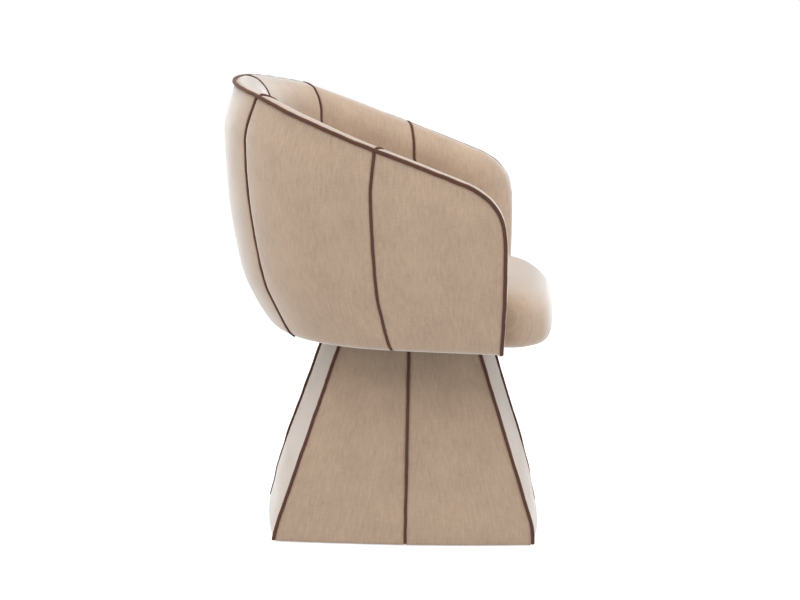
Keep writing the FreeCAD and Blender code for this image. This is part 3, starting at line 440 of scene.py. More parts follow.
outer_panels = {}
for label, start, stop in PANELS:
    begin = 0.0 if start is None else start
    columns = even(stop - begin)
    rows = 1.0 - (1.0 - even(OUTER_TALL)) ** OUTER_CROWDING
    for side_name, side in SIDES:
        run, height, across, up = panel_grid(start, stop, OUTER_INSET, SEAM_TUCK, columns, rows,
                                             TUB_BOTTOM)
        seams = [stop] if start is None else [start, stop]
        depth = outer_depth(run, height, across, up, seams, OUTER_SEEDS[side_name])
        outer = wall(run, height, depth, side)
        inner = wall(run, height, OUTER_DEEP, side)
        obj = stuffed("outer_panel_%s_%s" % (label, side_name) + "_cloth", outer, inner,
                      weave_lines(outer, side))
        outer_panels[label, side_name] = obj
        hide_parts("outer_panel_%s_%s" % (label, side_name))
        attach(obj, "seat")

# Inner panels of the tub. The same cloth over a foam wall: each panel comes up from behind the
# seat, rolls over the crest to the rim piping and, on the arms, rounds the front as well.
CREST = [               # (depth inwards, height over the rim line)
    (0.0, 0.0), (10.0, 3.4), (20.0, 3.8), (30.0, 0.3), (41.0, -9.0),
    (51.0, -20.0), (60.0, -34.0), (65.0, -47.0), (67.5, -62.0),
]
CREST_FINE = 900
WALL_THICKNESS = 72.0
THICKENING = 60.0       # distance below the crest over which the wall gets its full thickness
INNER_DEEP = 7.5
INNER_TALL = 430.0
INNER_CROWDING = 1.35
PILLOW_INNER = 4.0
PILLOW_EDGE = 30.0      # distance from the rim over which the pillow fades in
INNER_INSET = 0.9
INNER_RIM_REACH = 5.0
BOARD_ROOM = 1.0
SEAT_LINE = 455.0
BOARD_TOP = 365.0


def crest_line():
    """The crest section as a dense line of (depth, height): a cubic along its own length."""
    knots = np.array(CREST)
    length = measured(knots)
    fine = np.linspace(0.0, length[-1], CREST_FINE)
    depth = table(np.stack([length, knots[:, 0]], -1), fine)
    slope = np.gradient(knots[:, 1], length)
    i = np.clip(np.searchsorted(length, fine) - 1, 0, len(knots) - 2)
    height = cubic_span(fine, knots[i, 1], knots[i + 1, 1], length[i], length[i + 1],
                        slope[i], slope[i + 1])
    return np.stack([depth, height], -1)


CREST_LINE = crest_line()
CREST_SHARE = np.linspace(0.0, 1.0, len(CREST_LINE))
CREST_REACH = -CREST[-1][1]


def section(inside, under):
    """Depth and inward shift of the padded wall at a distance inside the rim line.

    It rolls over the crest for the first part and then runs straight down; under is how far
    below that surface the point lies, along the normal of the section.
    """
    share = np.clip(inside / CREST_REACH, 0.0, 1.0)
    way = np.gradient(CREST_LINE, axis=0)
    way = way / np.linalg.norm(way, axis=1)[:, None]
    depth = np.interp(share, CREST_SHARE, CREST_LINE[:, 0])
    shift = -np.interp(share, CREST_SHARE, CREST_LINE[:, 1])
    tilt_in = np.interp(share, CREST_SHARE, way[:, 1])
    tilt_down = np.interp(share, CREST_SHARE, way[:, 0])
    rolled = (depth + tilt_in * under, shift + tilt_down * under)
    grown = (WALL_THICKNESS - CREST[-1][0]) * ease((inside - CREST_REACH) / THICKENING)
    straight = inside >= CREST_REACH
    return (np.where(straight, CREST[-1][0] + grown - under, rolled[0]),
            np.where(straight, inside, rolled[1]))


CREST_DROP = [
    (0.0, 0.5), (ARM_RUN, 0.8), (0.5 * (ARM_RUN + CORNER_RUN), 2.0),
    (CORNER_RUN, 5.0), (PLAN_LENGTH, 3.5),
]
DROP_REACH = 16.0
SEAM_LEAN = [(0.0, 0.0), (ARM_RUN, 75.0), (CORNER_RUN, 88.0), (PLAN_LENGTH, 0.0)]
LEAN_START = 6.0
LEAN_FADE = 130.0
ARM_FRONT_BAND = 40.0   # run over which the lean fades in behind the arm front


def leant(run, inside):
    """Run leant forward on the way down: run - lean (1 - exp(-inside / fade)), most at a seam."""
    most = table(SEAM_LEAN, np.clip(run, 0.0, PLAN_LENGTH))
    return run - most * (1.0 - np.exp(-np.maximum(inside - LEAN_START, 0.0) / LEAN_FADE))


def inner_point(run, height, under, lift, side):
    """Point of the inner face: rolled over the crest and round the arm front."""
    inside, way_run, way_up = from_rim(run, height)
    depth, shift = section(inside, under)
    shift = shift + table(CREST_DROP, np.clip(run, 0.0, PLAN_LENGTH)) * ease(inside / DROP_REACH)
    move = inside - shift
    bound = ease(run / ARM_FRONT_BAND)
    run = run + (leant(run, inside) - run) * bound
    return wall(run + way_run * move, height + way_up * move, depth + lift, side)


def inner_lift(run, height, across, inside, seams, seed):
    """How far an inner panel stands proud, and how far it sinks into its seams and the rim."""
    off_rim = ease(inside / PILLOW_EDGE)
    lift = PILLOW_INNER * swell(across) * ease((height - SEAT_LINE) / PILLOW_FADE) * off_rim
    ripple = waver(run, height * RIPPLE_UP, INNER_RIPPLE, seed)
    lift = lift + RIPPLE * ripple * swell(across) * off_rim
    roll = rolled_edge(inside, INNER_RIM_REACH, SEAM_DROP)
    for seam in seams:
        gap = np.abs(run - seam)
        roll = (roll + rolled_edge(gap, SEAM_REACH, SEAM_DROP)
                + puckers(gap, inside, gap, INNER_PUCKER, seed))
    return lift, roll


inner_panels = {}
for label, start, stop in PANELS:
    begin = 0.0 if start is None else start
    columns = even(stop - begin)
    rows = 1.0 - (1.0 - even(INNER_TALL)) ** INNER_CROWDING
    foot = TUB_BOTTOM if start is None else BOARD_TOP + BOARD_ROOM
    for side_name, side in SIDES:
        run, height, across, up = panel_grid(start, stop, INNER_INSET, SEAM_TUCK, columns, rows,
                                             foot)
        inside = from_rim(run, height)[0]
        seams = [stop] if start is None else [start, stop]
        lift, roll = inner_lift(run, height, across, inside, seams, INNER_SEEDS[side_name])
        outer = inner_point(run, height, roll, lift, side)
        inner = inner_point(run, height, np.full_like(run, INNER_DEEP), 0.0, side)
        obj = stuffed("inner_panel_%s_%s" % (label, side_name) + "_cloth", outer, inner,
                      weave_lines(outer, side))
        inner_panels[label, side_name] = obj
        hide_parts("inner_panel_%s_%s" % (label, side_name))
        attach(obj, "seat")
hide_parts("wall_foam")

# Piping of the tub. A cord covered with a bias strip of chocolate cloth, sewn between the
# panels: a thicker one round the whole rim, thinner ones down every seam outside and inside.
RIM_PIPING = 3.2        # radius
SEAM_PIPING = 2.5       # radius
CORD_SINK = 0.5
CORD_STEP = 1.6
CORD_SIDES = 14
CORD_UNEVEN = 0.03      # share by which the radius breathes
CORD_SMOOTHING = (0.06, 0.24, 0.4, 0.24, 0.06)
CAP_REACH = 0.4         # how far the middle of an end stands out, as a share of the radius
CORD_WAVER = 0.3        # how far a sewn cord strays from its line
RIM_WAVER = 0.25
CORD_WAVES = (60.0, 47.0, 14.0)     # lengths of its wavers to either side and of its breathing
STEEP = 0.6             # mean upward share of a line from which its side is taken from STEEP_UP
STEEP_UP = (0.6, 0.8, 0.0)
FLAT_UP = (0.23, 0.11, 1.0)
RIM_SEED = 41
SEAM_SEED = 50
OUTER_SEAM_STEPS = 300
INNER_SEAM_STEPS = 400


def cord_tube(name, line, radius, wobble, seed):
    """Round closed tube along a line: a circle carried along it at right angles, capped at both ends.

    The line is smoothed to even steps; the radius breathes a little and the line wavers by
    wobble, as a hand-sewn cord does.
    """
    length = measured(line)
    count = max(8, int(round(length[-1] / CORD_STEP)))
    at = np.linspace(0.0, length[-1], count)
    path = np.stack([np.interp(at, length, c) for c in line.T], -1)
    kernel = np.array(CORD_SMOOTHING)
    padded = np.r_[2 * path[:1] - path[2:0:-1], path, 2 * path[-1:] - path[-2:-4:-1]]
    path = np.stack([np.convolve(c, kernel, "valid") for c in padded.T], -1)
    way = np.gradient(path, axis=0)
    way /= np.linalg.norm(way, axis=1)[:, None]
    up = STEEP_UP if np.abs(way[:, 2]).mean() >= STEEP else FLAT_UP
    side = np.cross(way, np.array(up))
    side /= np.linalg.norm(side, axis=1)[:, None]
    over = np.cross(side, way)
    zero = 0.0 * at
    path = path + wobble * (side * waver(at, zero, CORD_WAVES[0], seed)[:, None]
                            + over * waver(at, zero, CORD_WAVES[1], seed + 1)[:, None])
    a = np.linspace(0.0, 2 * np.pi, CORD_SIDES, endpoint=False)
    uneven = CORD_UNEVEN * waver(at, zero, CORD_WAVES[2], seed + 2)
    size = radius * (1.0 + uneven)[:, None, None]
    ring = (path[:, None] + size * (np.cos(a)[None, :, None] * side[:, None]
                                    + np.sin(a)[None, :, None] * over[:, None]))
    ends = [path[0] - way[0] * radius * CAP_REACH, path[-1] + way[-1] * radius * CAP_REACH]
    points = np.r_[ring.reshape(-1, 3), ends]
    obj = piece(name, points, tube_faces(count, CORD_SIDES))
    weave = np.stack([np.repeat(at, CORD_SIDES), np.tile(a * radius, count)], -1)
    lay_weave(obj, np.r_[weave, [[0.0, 0.0], [at[-1], 0.0]]])
    return obj


def sew(obj, node, body):
    """A cord stands for its node and rides on that body."""
    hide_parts(node)
    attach(obj, body)
    cords.append(obj)


cords = []
RIM_CORD_FOOT = 3.0     # height over the foot of the tub at which a cord starts
SEAM_CORD_FOOT = 5.0
UNDER_RIM = 1.0         # how far under the rim cord a seam cord ends
line = RIM_LINE[(RIM_LINE[:, 1] >= TUB_BOTTOM + RIM_CORD_FOOT) & (RIM_LINE[:, 0] < PLAN_LENGTH)]
half = wall(line[:, 0], line[:, 1], 0.0, -1.0)
rim = np.r_[half, half[::-1] * np.array((-1.0, 1.0, 1.0))]
sew(cord_tube("rim_piping_cord", rim, RIM_PIPING, RIM_WAVER, RIM_SEED), "rim_piping", "seat")

SEAMS = [("arm", ARM_RUN), ("corner", CORNER_RUN), ("centre", PLAN_LENGTH)]
INNER_SEAM_END = 385.0
for label, run in SEAMS:
    top = height_on(inset_line(RIM_PIPING + UNDER_RIM), run)
    for side_name, side in SIDES:
        if label == "centre" and side < 0:
            continue
        node = label if label == "centre" else label + "_" + side_name
        height = np.linspace(TUB_BOTTOM + SEAM_CORD_FOOT, top, OUTER_SEAM_STEPS)
        line = wall(np.full_like(height, run), height, foot_round(height) + CORD_SINK, side)
        sew(cord_tube("outer_piping_" + node + "_cord", line, SEAM_PIPING, CORD_WAVER,
                      SEAM_SEED + len(cords)), "outer_piping_" + node, "seat")
        height = np.linspace(INNER_SEAM_END, top, INNER_SEAM_STEPS)
        zero = np.zeros_like(height)
        line = inner_point(zero + run, height, zero + CORD_SINK, 0.0, side)
        sew(cord_tube("inner_piping_" + node + "_cord", line, SEAM_PIPING, CORD_WAVER,
                      SEAM_SEED + len(cords)), "inner_piping_" + node, "seat")

# Seat cushion. Foam under the same cloth, pulled over a board: it fills the tub behind and
# hangs over the front edge of the board as a round nose, with a faint crown on top.
CUSHION = [             # (height, side inset, nose inset)
    (346.0, 10.0, 20.0), (350.0, 4.0, 9.0), (357.0, 1.0, 4.0), (368.0, 0.0, 1.0),
    (385.0, 0.0, 0.0), (405.0, 0.5, 2.5), (420.0, 4.0, 10.0), (430.0, 9.0, 20.0),
    (439.0, 18.0, 33.0), (446.0, 32.0, 50.0), (451.5, 54.0, 72.0), (455.5, 84.0, 100.0),
    (457.5, 118.0, 132.0),
]
NOSE_FRONT = 261.5
NOSE_POWER_LOW = 5.2    # boxy below, rounder in plan above
NOSE_POWER_HIGH = 3.4
NOSE_CHANGE = (355.0, 435.0)
NOSE_SPREAD = 12.0      # how far the cushion widens where the arm fronts round away
SPREAD_START = 55.0
SPREAD_END = (15.0, 65.0)
SPREAD_LEVEL = 60.0
CUSHION_GAP = 0.6
CUSHION_ROUND = 220
CUSHION_LEVELS = 90
CUSHION_FINE = 1500     # levels from which those are picked evenly
CUSHION_DRAW = 0.6      # share of the side inset by which the nose starts further back
CUSHION_TOP = 460.0
CUSHION_CROWN = 6.0
CUSHION_HUB = 20.0      # behind the axis, where the rings of the top and the underside close
LID_RINGS = 25


def cushion_outline(height, side_inset, nose_inset, turn):
    """Outline of the cushion at a level: half round the wall, then a superellipse round the nose.

    turn runs from 0 at the middle of the back through 1 where the arm front starts to 2 at the
    middle of the nose.
    """
    start = CREST_REACH + CUSHION_DRAW * side_inset
    run = PLAN_LENGTH + (start - PLAN_LENGTH) * np.minimum(turn, 1.0)
    depth = section(np.maximum(run, CREST_REACH), np.zeros_like(run))[0] + CUSHION_GAP
    behind = wall(run, np.maximum(height, TUB_BOTTOM), depth + side_inset, 1.0)
    corner = wall(start, np.maximum(height, TUB_BOTTOM),
                  CREST[-1][0] + CUSHION_GAP + side_inset + 0.0 * start, 1.0)
    a = np.pi / 2 * (2.0 - np.maximum(turn, 1.0))
    share = ease((height - NOSE_CHANGE[0]) / (NOSE_CHANGE[1] - NOSE_CHANGE[0]))
    power = 2.0 / (NOSE_POWER_LOW + (NOSE_POWER_HIGH - NOSE_POWER_LOW) * share)
    back, width = -corner[..., 1], corner[..., 0]
    nose = NOSE_FRONT - nose_inset
    forward = back + (nose - back) * np.maximum(np.cos(a), 0.0) ** power
    left = width * np.maximum(np.sin(a), 0.0) ** power
    spread = NOSE_SPREAD * (1.0 - np.minimum(1.0, side_inset / SPREAD_LEVEL))
    fade = 1.0 - ease((forward - RIM_FRONT - SPREAD_END[0]) / (SPREAD_END[1] - SPREAD_END[0]))
    left = left + spread * ease((forward - back) / SPREAD_START) * fade
    over = turn > 1.0
    return np.where(over, left, behind[..., 0]), np.where(over, forward, -behind[..., 1])


def cushion_shape():
    """Closed grid (level, round) of the cushion: its outlines stacked from below to the top."""
    rows = np.array(CUSHION)
    fine = np.linspace(rows[0, 0], rows[-1, 0], CUSHION_FINE)
    dense = np.stack([fine, table(rows[:, :2], fine), table(rows[:, [0, 2]], fine)], -1)
    levels = along(dense, np.linspace(0.0, 1.0, CUSHION_LEVELS))
    turn = np.linspace(0.0, 2.0, CUSHION_ROUND)
    height = levels[:, :1] + 0.0 * turn
    left, forward = cushion_outline(height, levels[:, 1:2], levels[:, 2:3], turn[None])
    left[:, -1] = 0.0
    left[:, 0] = 0.0
    whole = np.stack([np.c_[left, -left[:, -2:0:-1]],
                      -np.c_[forward, forward[:, -2:0:-1]],
                      np.c_[height, height[:, -2:0:-1]]], -1)
    return whole, levels


shape, levels = cushion_shape()
shrink = np.linspace(1.0, 0.0, LID_RINGS + 1)[1:, None, None]
hub = np.array((0.0, CUSHION_HUB, levels[-1, 0]))
crown = CUSHION_CROWN * (1.0 - shrink ** 2) * np.array((0.0, 0.0, 1.0))
lid = hub + (shape[-1][None] - hub) * shrink + crown
low = np.array((0.0, CUSHION_HUB, levels[0, 0]))
underside = low + (shape[0][None] - low) * shrink[::-1]
whole = np.r_[underside[1:], shape, lid[:-1]]
points = np.r_[whole.reshape(-1, 3), [low], [hub + (0.0, 0.0, CUSHION_CROWN)]]
cushion = piece("seat_cushion_cloth", points, tube_faces(*whole.shape[:2], flip=True))
lay_weave(cushion, np.stack([points[:, 0], -points[:, 1] - (points[:, 2] - CUSHION_TOP)], -1))
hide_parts("seat_cushion")
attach(cushion, "seat")

# Cover of the base. Four flared faces of the same cloth over a thin pad on boards, each in two
# halves with a cord between them and a thicker cord down every corner.
BASE_HEIGHT = 328.0
BASE_FOOT_HALF = 231.0
BASE_TOP_HALF = 121.0
BASE_TURN = 6.1
CROWN_ENDS = 27.0       # swell of the front and back faces
CROWN_SIDES = 4.0       # swell of the left and right faces
# Against height: share of the crown, its power, how proud the middle cord stands, corner bends.
CROWN_SHARE = [
    (0.0, 0.70), (35.0, 0.80), (70.0, 0.97), (105.0, 1.01), (145.0, 1.02), (200.0, 0.98),
    (328.0, 1.0),
]
CROWN_PEAK = [(0.0, 2.0), (100.0, 1.7), (135.0, 1.25), (328.0, 1.2)]
SEAM_PROUD = [(0.0, -0.5), (95.0, -0.5), (130.0, 1.4), (328.0, 1.8)]
BENDS = {
    "front": [(0.0, 8.0), (20.0, 3.5), (45.0, 0.0), (328.0, 0.0)],
    "left": [(0.0, 7.0), (20.0, 2.5), (45.0, 0.0), (328.0, 0.0)],
    "back": [(0.0, 4.0), (20.0, 1.0), (45.0, 0.0), (328.0, 0.0)],
    "right": [(0.0, 9.0), (20.0, 4.0), (45.0, 0.0), (328.0, 0.0)],
}
BASE_DEEP = 13.0
BASE_FOOT_ROUND = 6.0
COVER_FOOT = 0.8
BASE_PIPING = 2.9       # radius
CORNER_PROUD = 0.4
CORNER_ROOM = 1.2       # between the corner line and the edge of the cloth
CORNER_ROLL = 0.8
CORNER_DROP = 2.4
HIDDEN_ROOM = 0.4
BASE_RIPPLE = 0.25
BASE_RIPPLE_LENGTH = 110.0
FACE_SHIFT = 300.0      # keeps the ripples of the faces apart
FOOT_BAND = 14.0
FOOT_ROWS = 8
FACE_ROWS = 108
BASE_COLUMNS = 66
BASE_CORD_ROOM = 4.0    # height over the cover's foot at which the middle cord starts
BASE_CORD_TOP = 1.0     # and how far under the top of the cover it ends
BASE_CORD_STEPS = 160
CORNER_WAVER = 0.35
BASE_SEEDS = {"ripple": 60, "middle": 61, "corner": 62, "seam_cord": 70, "corner_cord": 80}
FACES = [("front", 0.0, CROWN_ENDS), ("left", 90.0, CROWN_SIDES),
         ("back", 180.0, CROWN_ENDS), ("right", 270.0, CROWN_SIDES)]


def base_half(height):
    """Half width of the base on its corner seams at a height."""
    return BASE_FOOT_HALF + (BASE_TOP_HALF - BASE_FOOT_HALF) * height / BASE_HEIGHT


def turned(out, across, height, angle):
    """Point of a base face: out from the axis and across to the left, turned with the base."""
    a = np.radians(angle + BASE_TURN)
    forward = out * np.cos(a) - across * np.sin(a)
    left = out * np.sin(a) + across * np.cos(a)
    return np.stack(np.broadcast_arrays(left, -forward, height), -1)


def foot_tuck(height):
    """How far the foot of the cover is rounded in at a height: a quarter circle."""
    over = np.maximum(0.0, COVER_FOOT + BASE_FOOT_ROUND - height)
    return BASE_FOOT_ROUND - np.sqrt(np.maximum(BASE_FOOT_ROUND ** 2 - over ** 2, 0.0))


def base_face(across, height, crown, bend):
    """How far a base face stands out: half + crown (1 - share^peak) - bend share^2 - tuck."""
    half = base_half(height)
    share = np.abs(across / (half - bend))
    grown = table(CROWN_SHARE, height)
    peak = table(CROWN_PEAK, height)
    return half + crown * grown * (1.0 - share ** peak) - bend * share ** 2 - foot_tuck(height)


base_panels = []
for face, (label, angle, crown) in enumerate(FACES):
    for half_name, sign in (("a", 1.0), ("b", -1.0)):
        rows = np.r_[np.linspace(COVER_FOOT, FOOT_BAND, FOOT_ROWS)[:-1],
                     np.linspace(FOOT_BAND, BASE_HEIGHT, FACE_ROWS)]
        share, height = np.meshgrid(np.linspace(0.0, 1.0, BASE_COLUMNS), rows, indexing="ij")
        corner = label if sign > 0 else FACES[face - 1][0]
        bend = table(BENDS[corner], height)
        edge = base_half(height) - bend - CORNER_ROOM - foot_tuck(height)
        across = SEAM_TUCK + (edge - SEAM_TUCK) * share
        out = base_face(across, height, crown, bend)
        seam = (rolled_edge(across, SEAM_REACH, SEAM_DROP)
                + rolled_edge(edge + CORNER_ROLL - across, SEAM_REACH, CORNER_DROP))
        slow = waver(across + FACE_SHIFT * face, height, BASE_RIPPLE_LENGTH,
                     BASE_SEEDS["ripple"] + face)
        ripple = (BASE_RIPPLE * slow
                  + puckers(across, height, across, OUTER_PUCKER, BASE_SEEDS["middle"])
                  + puckers(edge - across, height, across, OUTER_PUCKER, BASE_SEEDS["corner"]))
        outer = turned(out - seam - ripple, sign * across, height, angle)
        hidden = base_half(height) - BASE_DEEP - HIDDEN_ROOM
        inner = turned(base_half(height) - BASE_DEEP,
                       sign * (SEAM_TUCK + (hidden - SEAM_TUCK) * share), height, angle)
        node = "base_panel_%s_%s" % (label, half_name)
        obj = stuffed(node + "_cloth", outer, inner, weave_lines(outer, sign))
        base_panels.append(obj)
        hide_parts(node)
        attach(obj, "base")
    height = np.linspace(COVER_FOOT + BASE_CORD_ROOM, BASE_HEIGHT - BASE_CORD_TOP,
                         BASE_CORD_STEPS)
    out = base_face(0.0 * height, height, crown, 0.0) + table(SEAM_PROUD, height)
    line = turned(out, 0.0 * height, height, angle)
    sew(cord_tube("base_seam_piping_%s_cord" % label, line, SEAM_PIPING, CORD_WAVER,
                  BASE_SEEDS["seam_cord"] + face), "base_seam_piping_" + label, "base")
    out = base_half(height) + CORNER_PROUD - table(BENDS[label], height) - foot_tuck(height)
    line = turned(out, out, height, angle)
    sew(cord_tube("base_corner_piping_%s_cord" % label, line, BASE_PIPING, CORNER_WAVER,
                  BASE_SEEDS["corner_cord"] + face), "base_corner_piping_" + label, "base")

# Cloth of the tub, the seat and the base. One plain weave of heather beige linen: slubbed
# threads both ways, a soft nap that turns pale when it is looked along.
CLOTH_BEIGE = (0.476, 0.349, 0.253)
THREAD = 0.0011         # sizes in metres on the cloth
SLUB = 0.0042
MOTTLE = 0.055
RIB = 0.0055
SLUB_SHARE = 0.35       # how much slubs and mottle count in the shade, ribs in the relief
MOTTLE_SHARE = 0.22
RIB_SHARE = 0.4
SHADES = (0.34, 0.66)   # noise values that take the darkest and the palest shade


def put(tree, kind, **sockets):
    """A node of that kind with settings and sockets set by name, i0 and so on by number.

    A value that is itself a socket is linked instead.
    """
    node = tree.nodes.new(kind)
    for key, value in sockets.items():
        if hasattr(node, key) and key not in node.inputs:
            setattr(node, key, value)
            continue
        numbered = key[0] == "i" and key[1:].isdigit()
        socket = node.inputs[int(key[1:])] if numbered else node.inputs[key]
        if isinstance(value, bpy.types.NodeSocket):
            tree.links.new(value, socket)
        else:
            socket.default_value = value
    return node


def fresh(name):
    """A new node material, its node tree and its output node."""
    material = bpy.data.materials.new(name)
    material.use_nodes = True
    material.node_tree.nodes.clear()
    return material, material.node_tree, material.node_tree.nodes.new("ShaderNodeOutputMaterial")


def threads(tree, uv, pitch, stretch, seed):
    """Uneven threads: noise drawn out along one way of the cloth, about 0 to 1."""
    laid = put(tree, "ShaderNodeMapping", Vector=uv, Scale=stretch,
               Location=(seed, 0.37 * seed, 0.0))
    noise = put(tree, "ShaderNodeTexNoise", Vector=laid.outputs[0], Scale=1.0 / pitch, Detail=3.0,
                Roughness=0.6)
    return noise.outputs["Fac"]


def blend_in(tree, base, top, amount):
    """Average of two grey values, weighted by amount for the second."""
    return put(tree, "ShaderNodeMix", data_type="FLOAT", i0=amount, i2=base, i3=top).outputs[0]


def cloth_material(name, colour, dark, light, bump, nap, nap_tint):
    """Woven cloth on the Weave map: warp and weft threads, slubs, mottle, and a nap."""
    material, tree, out = fresh(name)
    uv = put(tree, "ShaderNodeUVMap", uv_map="Weave").outputs[0]
    warp = threads(tree, uv, THREAD, (1.0, 0.07, 1.0), 3.1)
    weft = threads(tree, uv, THREAD, (0.07, 1.0, 1.0), 7.7)
    slub = threads(tree, uv, SLUB, (1.0, 0.16, 1.0), 1.3)
    mottle = threads(tree, uv, MOTTLE, (1.0, 0.8, 1.0), 5.9)
    weave = blend_in(tree, warp, weft, 0.5)
    shade = blend_in(tree, blend_in(tree, weave, slub, SLUB_SHARE), mottle, MOTTLE_SHARE)
    ramp = put(tree, "ShaderNodeValToRGB", Fac=shade)
    ramp.color_ramp.elements[0].position = SHADES[0]
    ramp.color_ramp.elements[1].position = SHADES[1]
    ramp.color_ramp.elements[0].color = tuple(c * dark for c in colour) + (1.0,)
    ramp.color_ramp.elements[1].color = tuple(min(c * light, 1.0) for c in colour) + (1.0,)
    wave = put(tree, "ShaderNodeTexWave", Vector=uv, Scale=1.0 / RIB, Distortion=0.6, Detail=1.0)
    cross = put(tree, "ShaderNodeTexWave", bands_direction="Y", Vector=uv, Scale=1.0 / RIB,
                Distortion=0.6, Detail=1.0)
    ribs = blend_in(tree, wave.outputs["Fac"], cross.outputs["Fac"], 0.5)
    height = blend_in(tree, blend_in(tree, weave, ribs, RIB_SHARE), slub, SLUB_SHARE)
    relief = put(tree, "ShaderNodeBump", Height=height, Strength=bump, Distance=0.0006)
    shader = put(tree, "ShaderNodeBsdfPrincipled", Normal=relief.outputs[0], Roughness=0.92)
    shader.inputs["Specular IOR Level"].default_value = 0.25
    shader.inputs["Sheen Weight"].default_value = nap
    shader.inputs["Sheen Roughness"].default_value = 0.42
    shader.inputs["Sheen Tint"].default_value = nap_tint + (1.0,)
    tree.links.new(ramp.outputs[0], shader.inputs["Base Color"])
    tree.links.new(shader.outputs[0], out.inputs[0])
    return material


beige = cloth_material("beige_weave", CLOTH_BEIGE, dark=0.78, light=1.22, bump=0.55, nap=1.35,
                       nap_tint=(1.0, 0.99, 0.98))
for obj in [*outer_panels.values(), *inner_panels.values(), cushion, *base_panels]:
    obj.data.materials.append(beige)

# Cloth of the piping. The same weave in chocolate brown, wrapped round the cords, with a
# weaker nap than the panels have.
CHOCOLATE = (0.105, 0.048, 0.033)
chocolate = cloth_material("chocolate_bias", CHOCOLATE, dark=0.7, light=1.35, bump=0.6, nap=0.35,
                           nap_tint=(0.75, 0.55, 0.45))
for obj in cords:
    obj.data.materials.append(chocolate)

# Hidden and under parts, kept as they are: plywood boards, black cloth under the seat and the
# base, the rubber pad, and the pressed steel swivel with its bolts and screws.


def grain_material(name, colour, streak, roughness):
    """Birch plywood: pale wood with long darker streaks along its grain."""
    material, tree, out = fresh(name)
    spot = put(tree, "ShaderNodeTexCoord").outputs["Object"]
    laid = put(tree, "ShaderNodeMapping", Vector=spot, Scale=(1.0, 0.08, 1.0))
    noise = put(tree, "ShaderNodeTexNoise", Vector=laid.outputs[0], Scale=90.0, Detail=4.0)
    ramp = put(tree, "ShaderNodeValToRGB", Fac=noise.outputs["Fac"])
    ramp.color_ramp.elements[0].color = tuple(c * streak for c in colour) + (1.0,)
    ramp.color_ramp.elements[1].color = colour + (1.0,)
    relief = put(tree, "ShaderNodeBump", Height=noise.outputs["Fac"], Strength=0.2, Distance=0.0005)
    shader = put(tree, "ShaderNodeBsdfPrincipled", Normal=relief.outputs[0], Roughness=roughness)
    tree.links.new(ramp.outputs[0], shader.inputs["Base Color"])
    tree.links.new(shader.outputs[0], out.inputs[0])
    return material


def speckled_material(name, colour, spread, size, roughness, metal):
    """Black cloth, rubber or steel: one colour broken up by fine noise in shade and relief."""
    material, tree, out = fresh(name)
    spot = put(tree, "ShaderNodeTexCoord").outputs["Object"]
    noise = put(tree, "ShaderNodeTexNoise", Vector=spot, Scale=1.0 / size, Detail=5.0)
    ramp = put(tree, "ShaderNodeValToRGB", Fac=noise.outputs["Fac"])
    ramp.color_ramp.elements[0].color = tuple(c * (1.0 - spread) for c in colour) + (1.0,)
    ramp.color_ramp.elements[1].color = tuple(c * (1.0 + spread) for c in colour) + (1.0,)
    relief = put(tree, "ShaderNodeBump", Height=noise.outputs["Fac"], Strength=0.25, Distance=0.0004)
    shader = put(tree, "ShaderNodeBsdfPrincipled", Normal=relief.outputs[0], Roughness=roughness,
                 Metallic=metal)
    tree.links.new(ramp.outputs[0], shader.inputs["Base Color"])
    tree.links.new(shader.outputs[0], out.inputs[0])
    return material


LOOKS = {
    "plywood": grain_material("birch_plywood", (0.60, 0.43, 0.27), streak=0.62, roughness=0.6),
    "lining": speckled_material("black_lining", (0.022, 0.022, 0.023), spread=0.5, size=0.0012,
                                roughness=0.95, metal=0.0),
    "rubber": speckled_material("foot_rubber", (0.030, 0.030, 0.031), spread=0.35, size=0.002,
                                roughness=0.7, metal=0.0),
    "black_steel": speckled_material("black_steel", (0.026, 0.026, 0.028), spread=0.3, size=0.004,
                                     roughness=0.42, metal=0.6),
    "zinc": speckled_material("zinc_steel", (0.56, 0.56, 0.58), spread=0.12, size=0.003,
                              roughness=0.32, metal=1.0),
}
FINISHES = {
    "plywood": ("base_side_", "base_top_board", "base_foot_board", "seat_board", "tub_shell"),
    "lining": ("base_dust_cloth", "seat_dust_cloth"),
    "rubber": ("base_foot_pad",),
    "black_steel": ("swivel_upper_plate", "swivel_lower_plate"),
    "zinc": ("swivel_pivot", "swivel_balls", "lower_screws", "upper_", "shell_screws"),
}
for node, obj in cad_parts.items():
    for finish, starts in FINISHES.items():
        if node.startswith(starts):
            obj.data.materials.clear()
            obj.data.materials.append(LOOKS[finish])

# Floor and light. A plain white studio: the floor and the backdrop show white to the camera and
# keep the chair's shadow, a wide soft light hangs overhead and softer ones stand round the chair.
FLOOR_HALF = 9.0
FLOOR_SHADE = 0.8
FLOOR_GLOW = 0.62
ROOM_LIGHT = 0.57
floor_mesh = bpy.data.meshes.new("floor")
floor_mesh.from_pydata([(x * FLOOR_HALF, y * FLOOR_HALF, 0.0)
                        for x, y in ((-1, -1), (1, -1), (1, 1), (-1, 1))], [], [(0, 1, 2, 3)])
floor_piece = bpy.data.objects.new("floor", floor_mesh)
bpy.context.scene.collection.objects.link(floor_piece)
material, tree, out = fresh("white_floor")
seen = put(tree, "ShaderNodeLightPath")
either = put(tree, "ShaderNodeMath", operation="MAXIMUM", i0=seen.outputs["Is Camera Ray"],
             i1=seen.outputs["Is Glossy Ray"])
matt = put(tree, "ShaderNodeBsdfDiffuse", Color=(FLOOR_SHADE, FLOOR_SHADE, FLOOR_SHADE, 1.0))
shine = put(tree, "ShaderNodeEmission", Strength=FLOOR_GLOW)
lit = put(tree, "ShaderNodeAddShader", i0=matt.outputs[0], i1=shine.outputs[0])
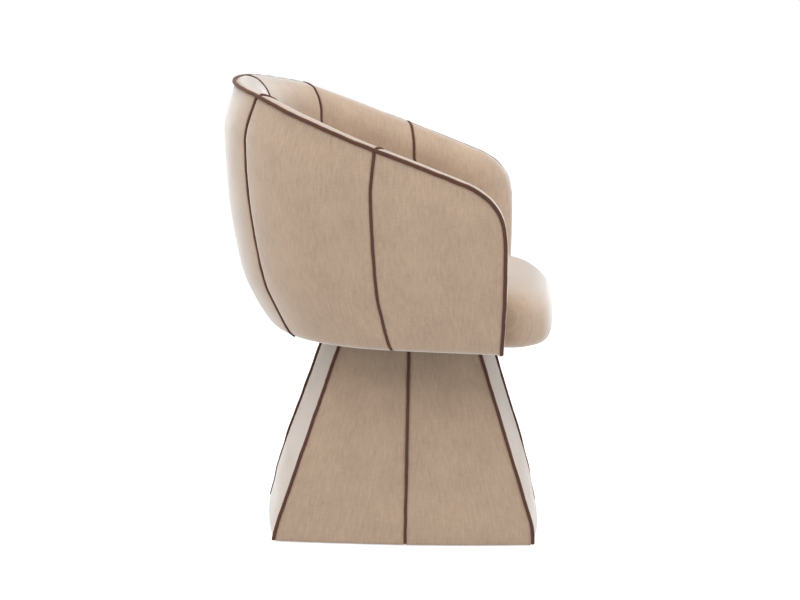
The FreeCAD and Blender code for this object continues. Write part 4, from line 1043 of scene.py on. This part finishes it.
mixed = put(tree, "ShaderNodeMixShader", Fac=either.outputs[0], i1=matt.outputs[0],
            i2=lit.outputs[0])
tree.links.new(mixed.outputs[0], out.inputs[0])
floor_piece.data.materials.append(material)

world = bpy.data.worlds.new("studio")
bpy.context.scene.world = world
world.use_nodes = True
tree = world.node_tree
tree.nodes.clear()
out = tree.nodes.new("ShaderNodeOutputWorld")
seen = put(tree, "ShaderNodeLightPath")
either = put(tree, "ShaderNodeMath", operation="MAXIMUM", i0=seen.outputs["Is Camera Ray"],
             i1=seen.outputs["Is Transmission Ray"])
soft = put(tree, "ShaderNodeBackground", Color=(1.0, 1.0, 1.0, 1.0), Strength=ROOM_LIGHT)
white = put(tree, "ShaderNodeBackground", Color=(1.0, 1.0, 1.0, 1.0), Strength=1.0)
mixed = put(tree, "ShaderNodeMixShader", Fac=either.outputs[0], i1=soft.outputs[0],
            i2=white.outputs[0])
tree.links.new(mixed.outputs[0], out.inputs[0])
bpy.context.scene.view_settings.view_transform = "Standard"


def soft_light(name, place, toward, size, power):
    """Square area light at a place, facing a point: metres and watts."""
    light = bpy.data.lights.new(name, "AREA")
    light.shape = "SQUARE"
    light.size = size
    light.energy = power
    lamp = bpy.data.objects.new(name, light)
    bpy.context.scene.collection.objects.link(lamp)
    back = np.array(place) - np.array(toward)
    back = back / np.linalg.norm(back)
    right = np.cross((0.0, 1.0, 0.01), back)
    right = right / np.linalg.norm(right)
    turn = np.column_stack((right, np.cross(back, right), back))
    lamp.matrix_world = Matrix.Translation(place) @ Matrix(turn.tolist()).to_4x4()


soft_light("overhead", (0.0, 0.1, 2.6), (0.0, 0.0, 0.4), size=2.2, power=26.0)
soft_light("camera_side", (-2.0, 0.1, 2.7), (0.0, 0.0, 0.6), size=1.8, power=26.0)
soft_light("front_side", (0.4, -2.6, 1.2), (0.0, 0.0, 0.5), size=1.6, power=17.0)
soft_light("back_side", (0.4, 2.6, 1.2), (0.0, 0.0, 0.5), size=1.6, power=15.0)
soft_light("low_side", (-2.4, -0.1, 0.25), (0.0, 0.0, 0.42), size=1.2, power=3.0)
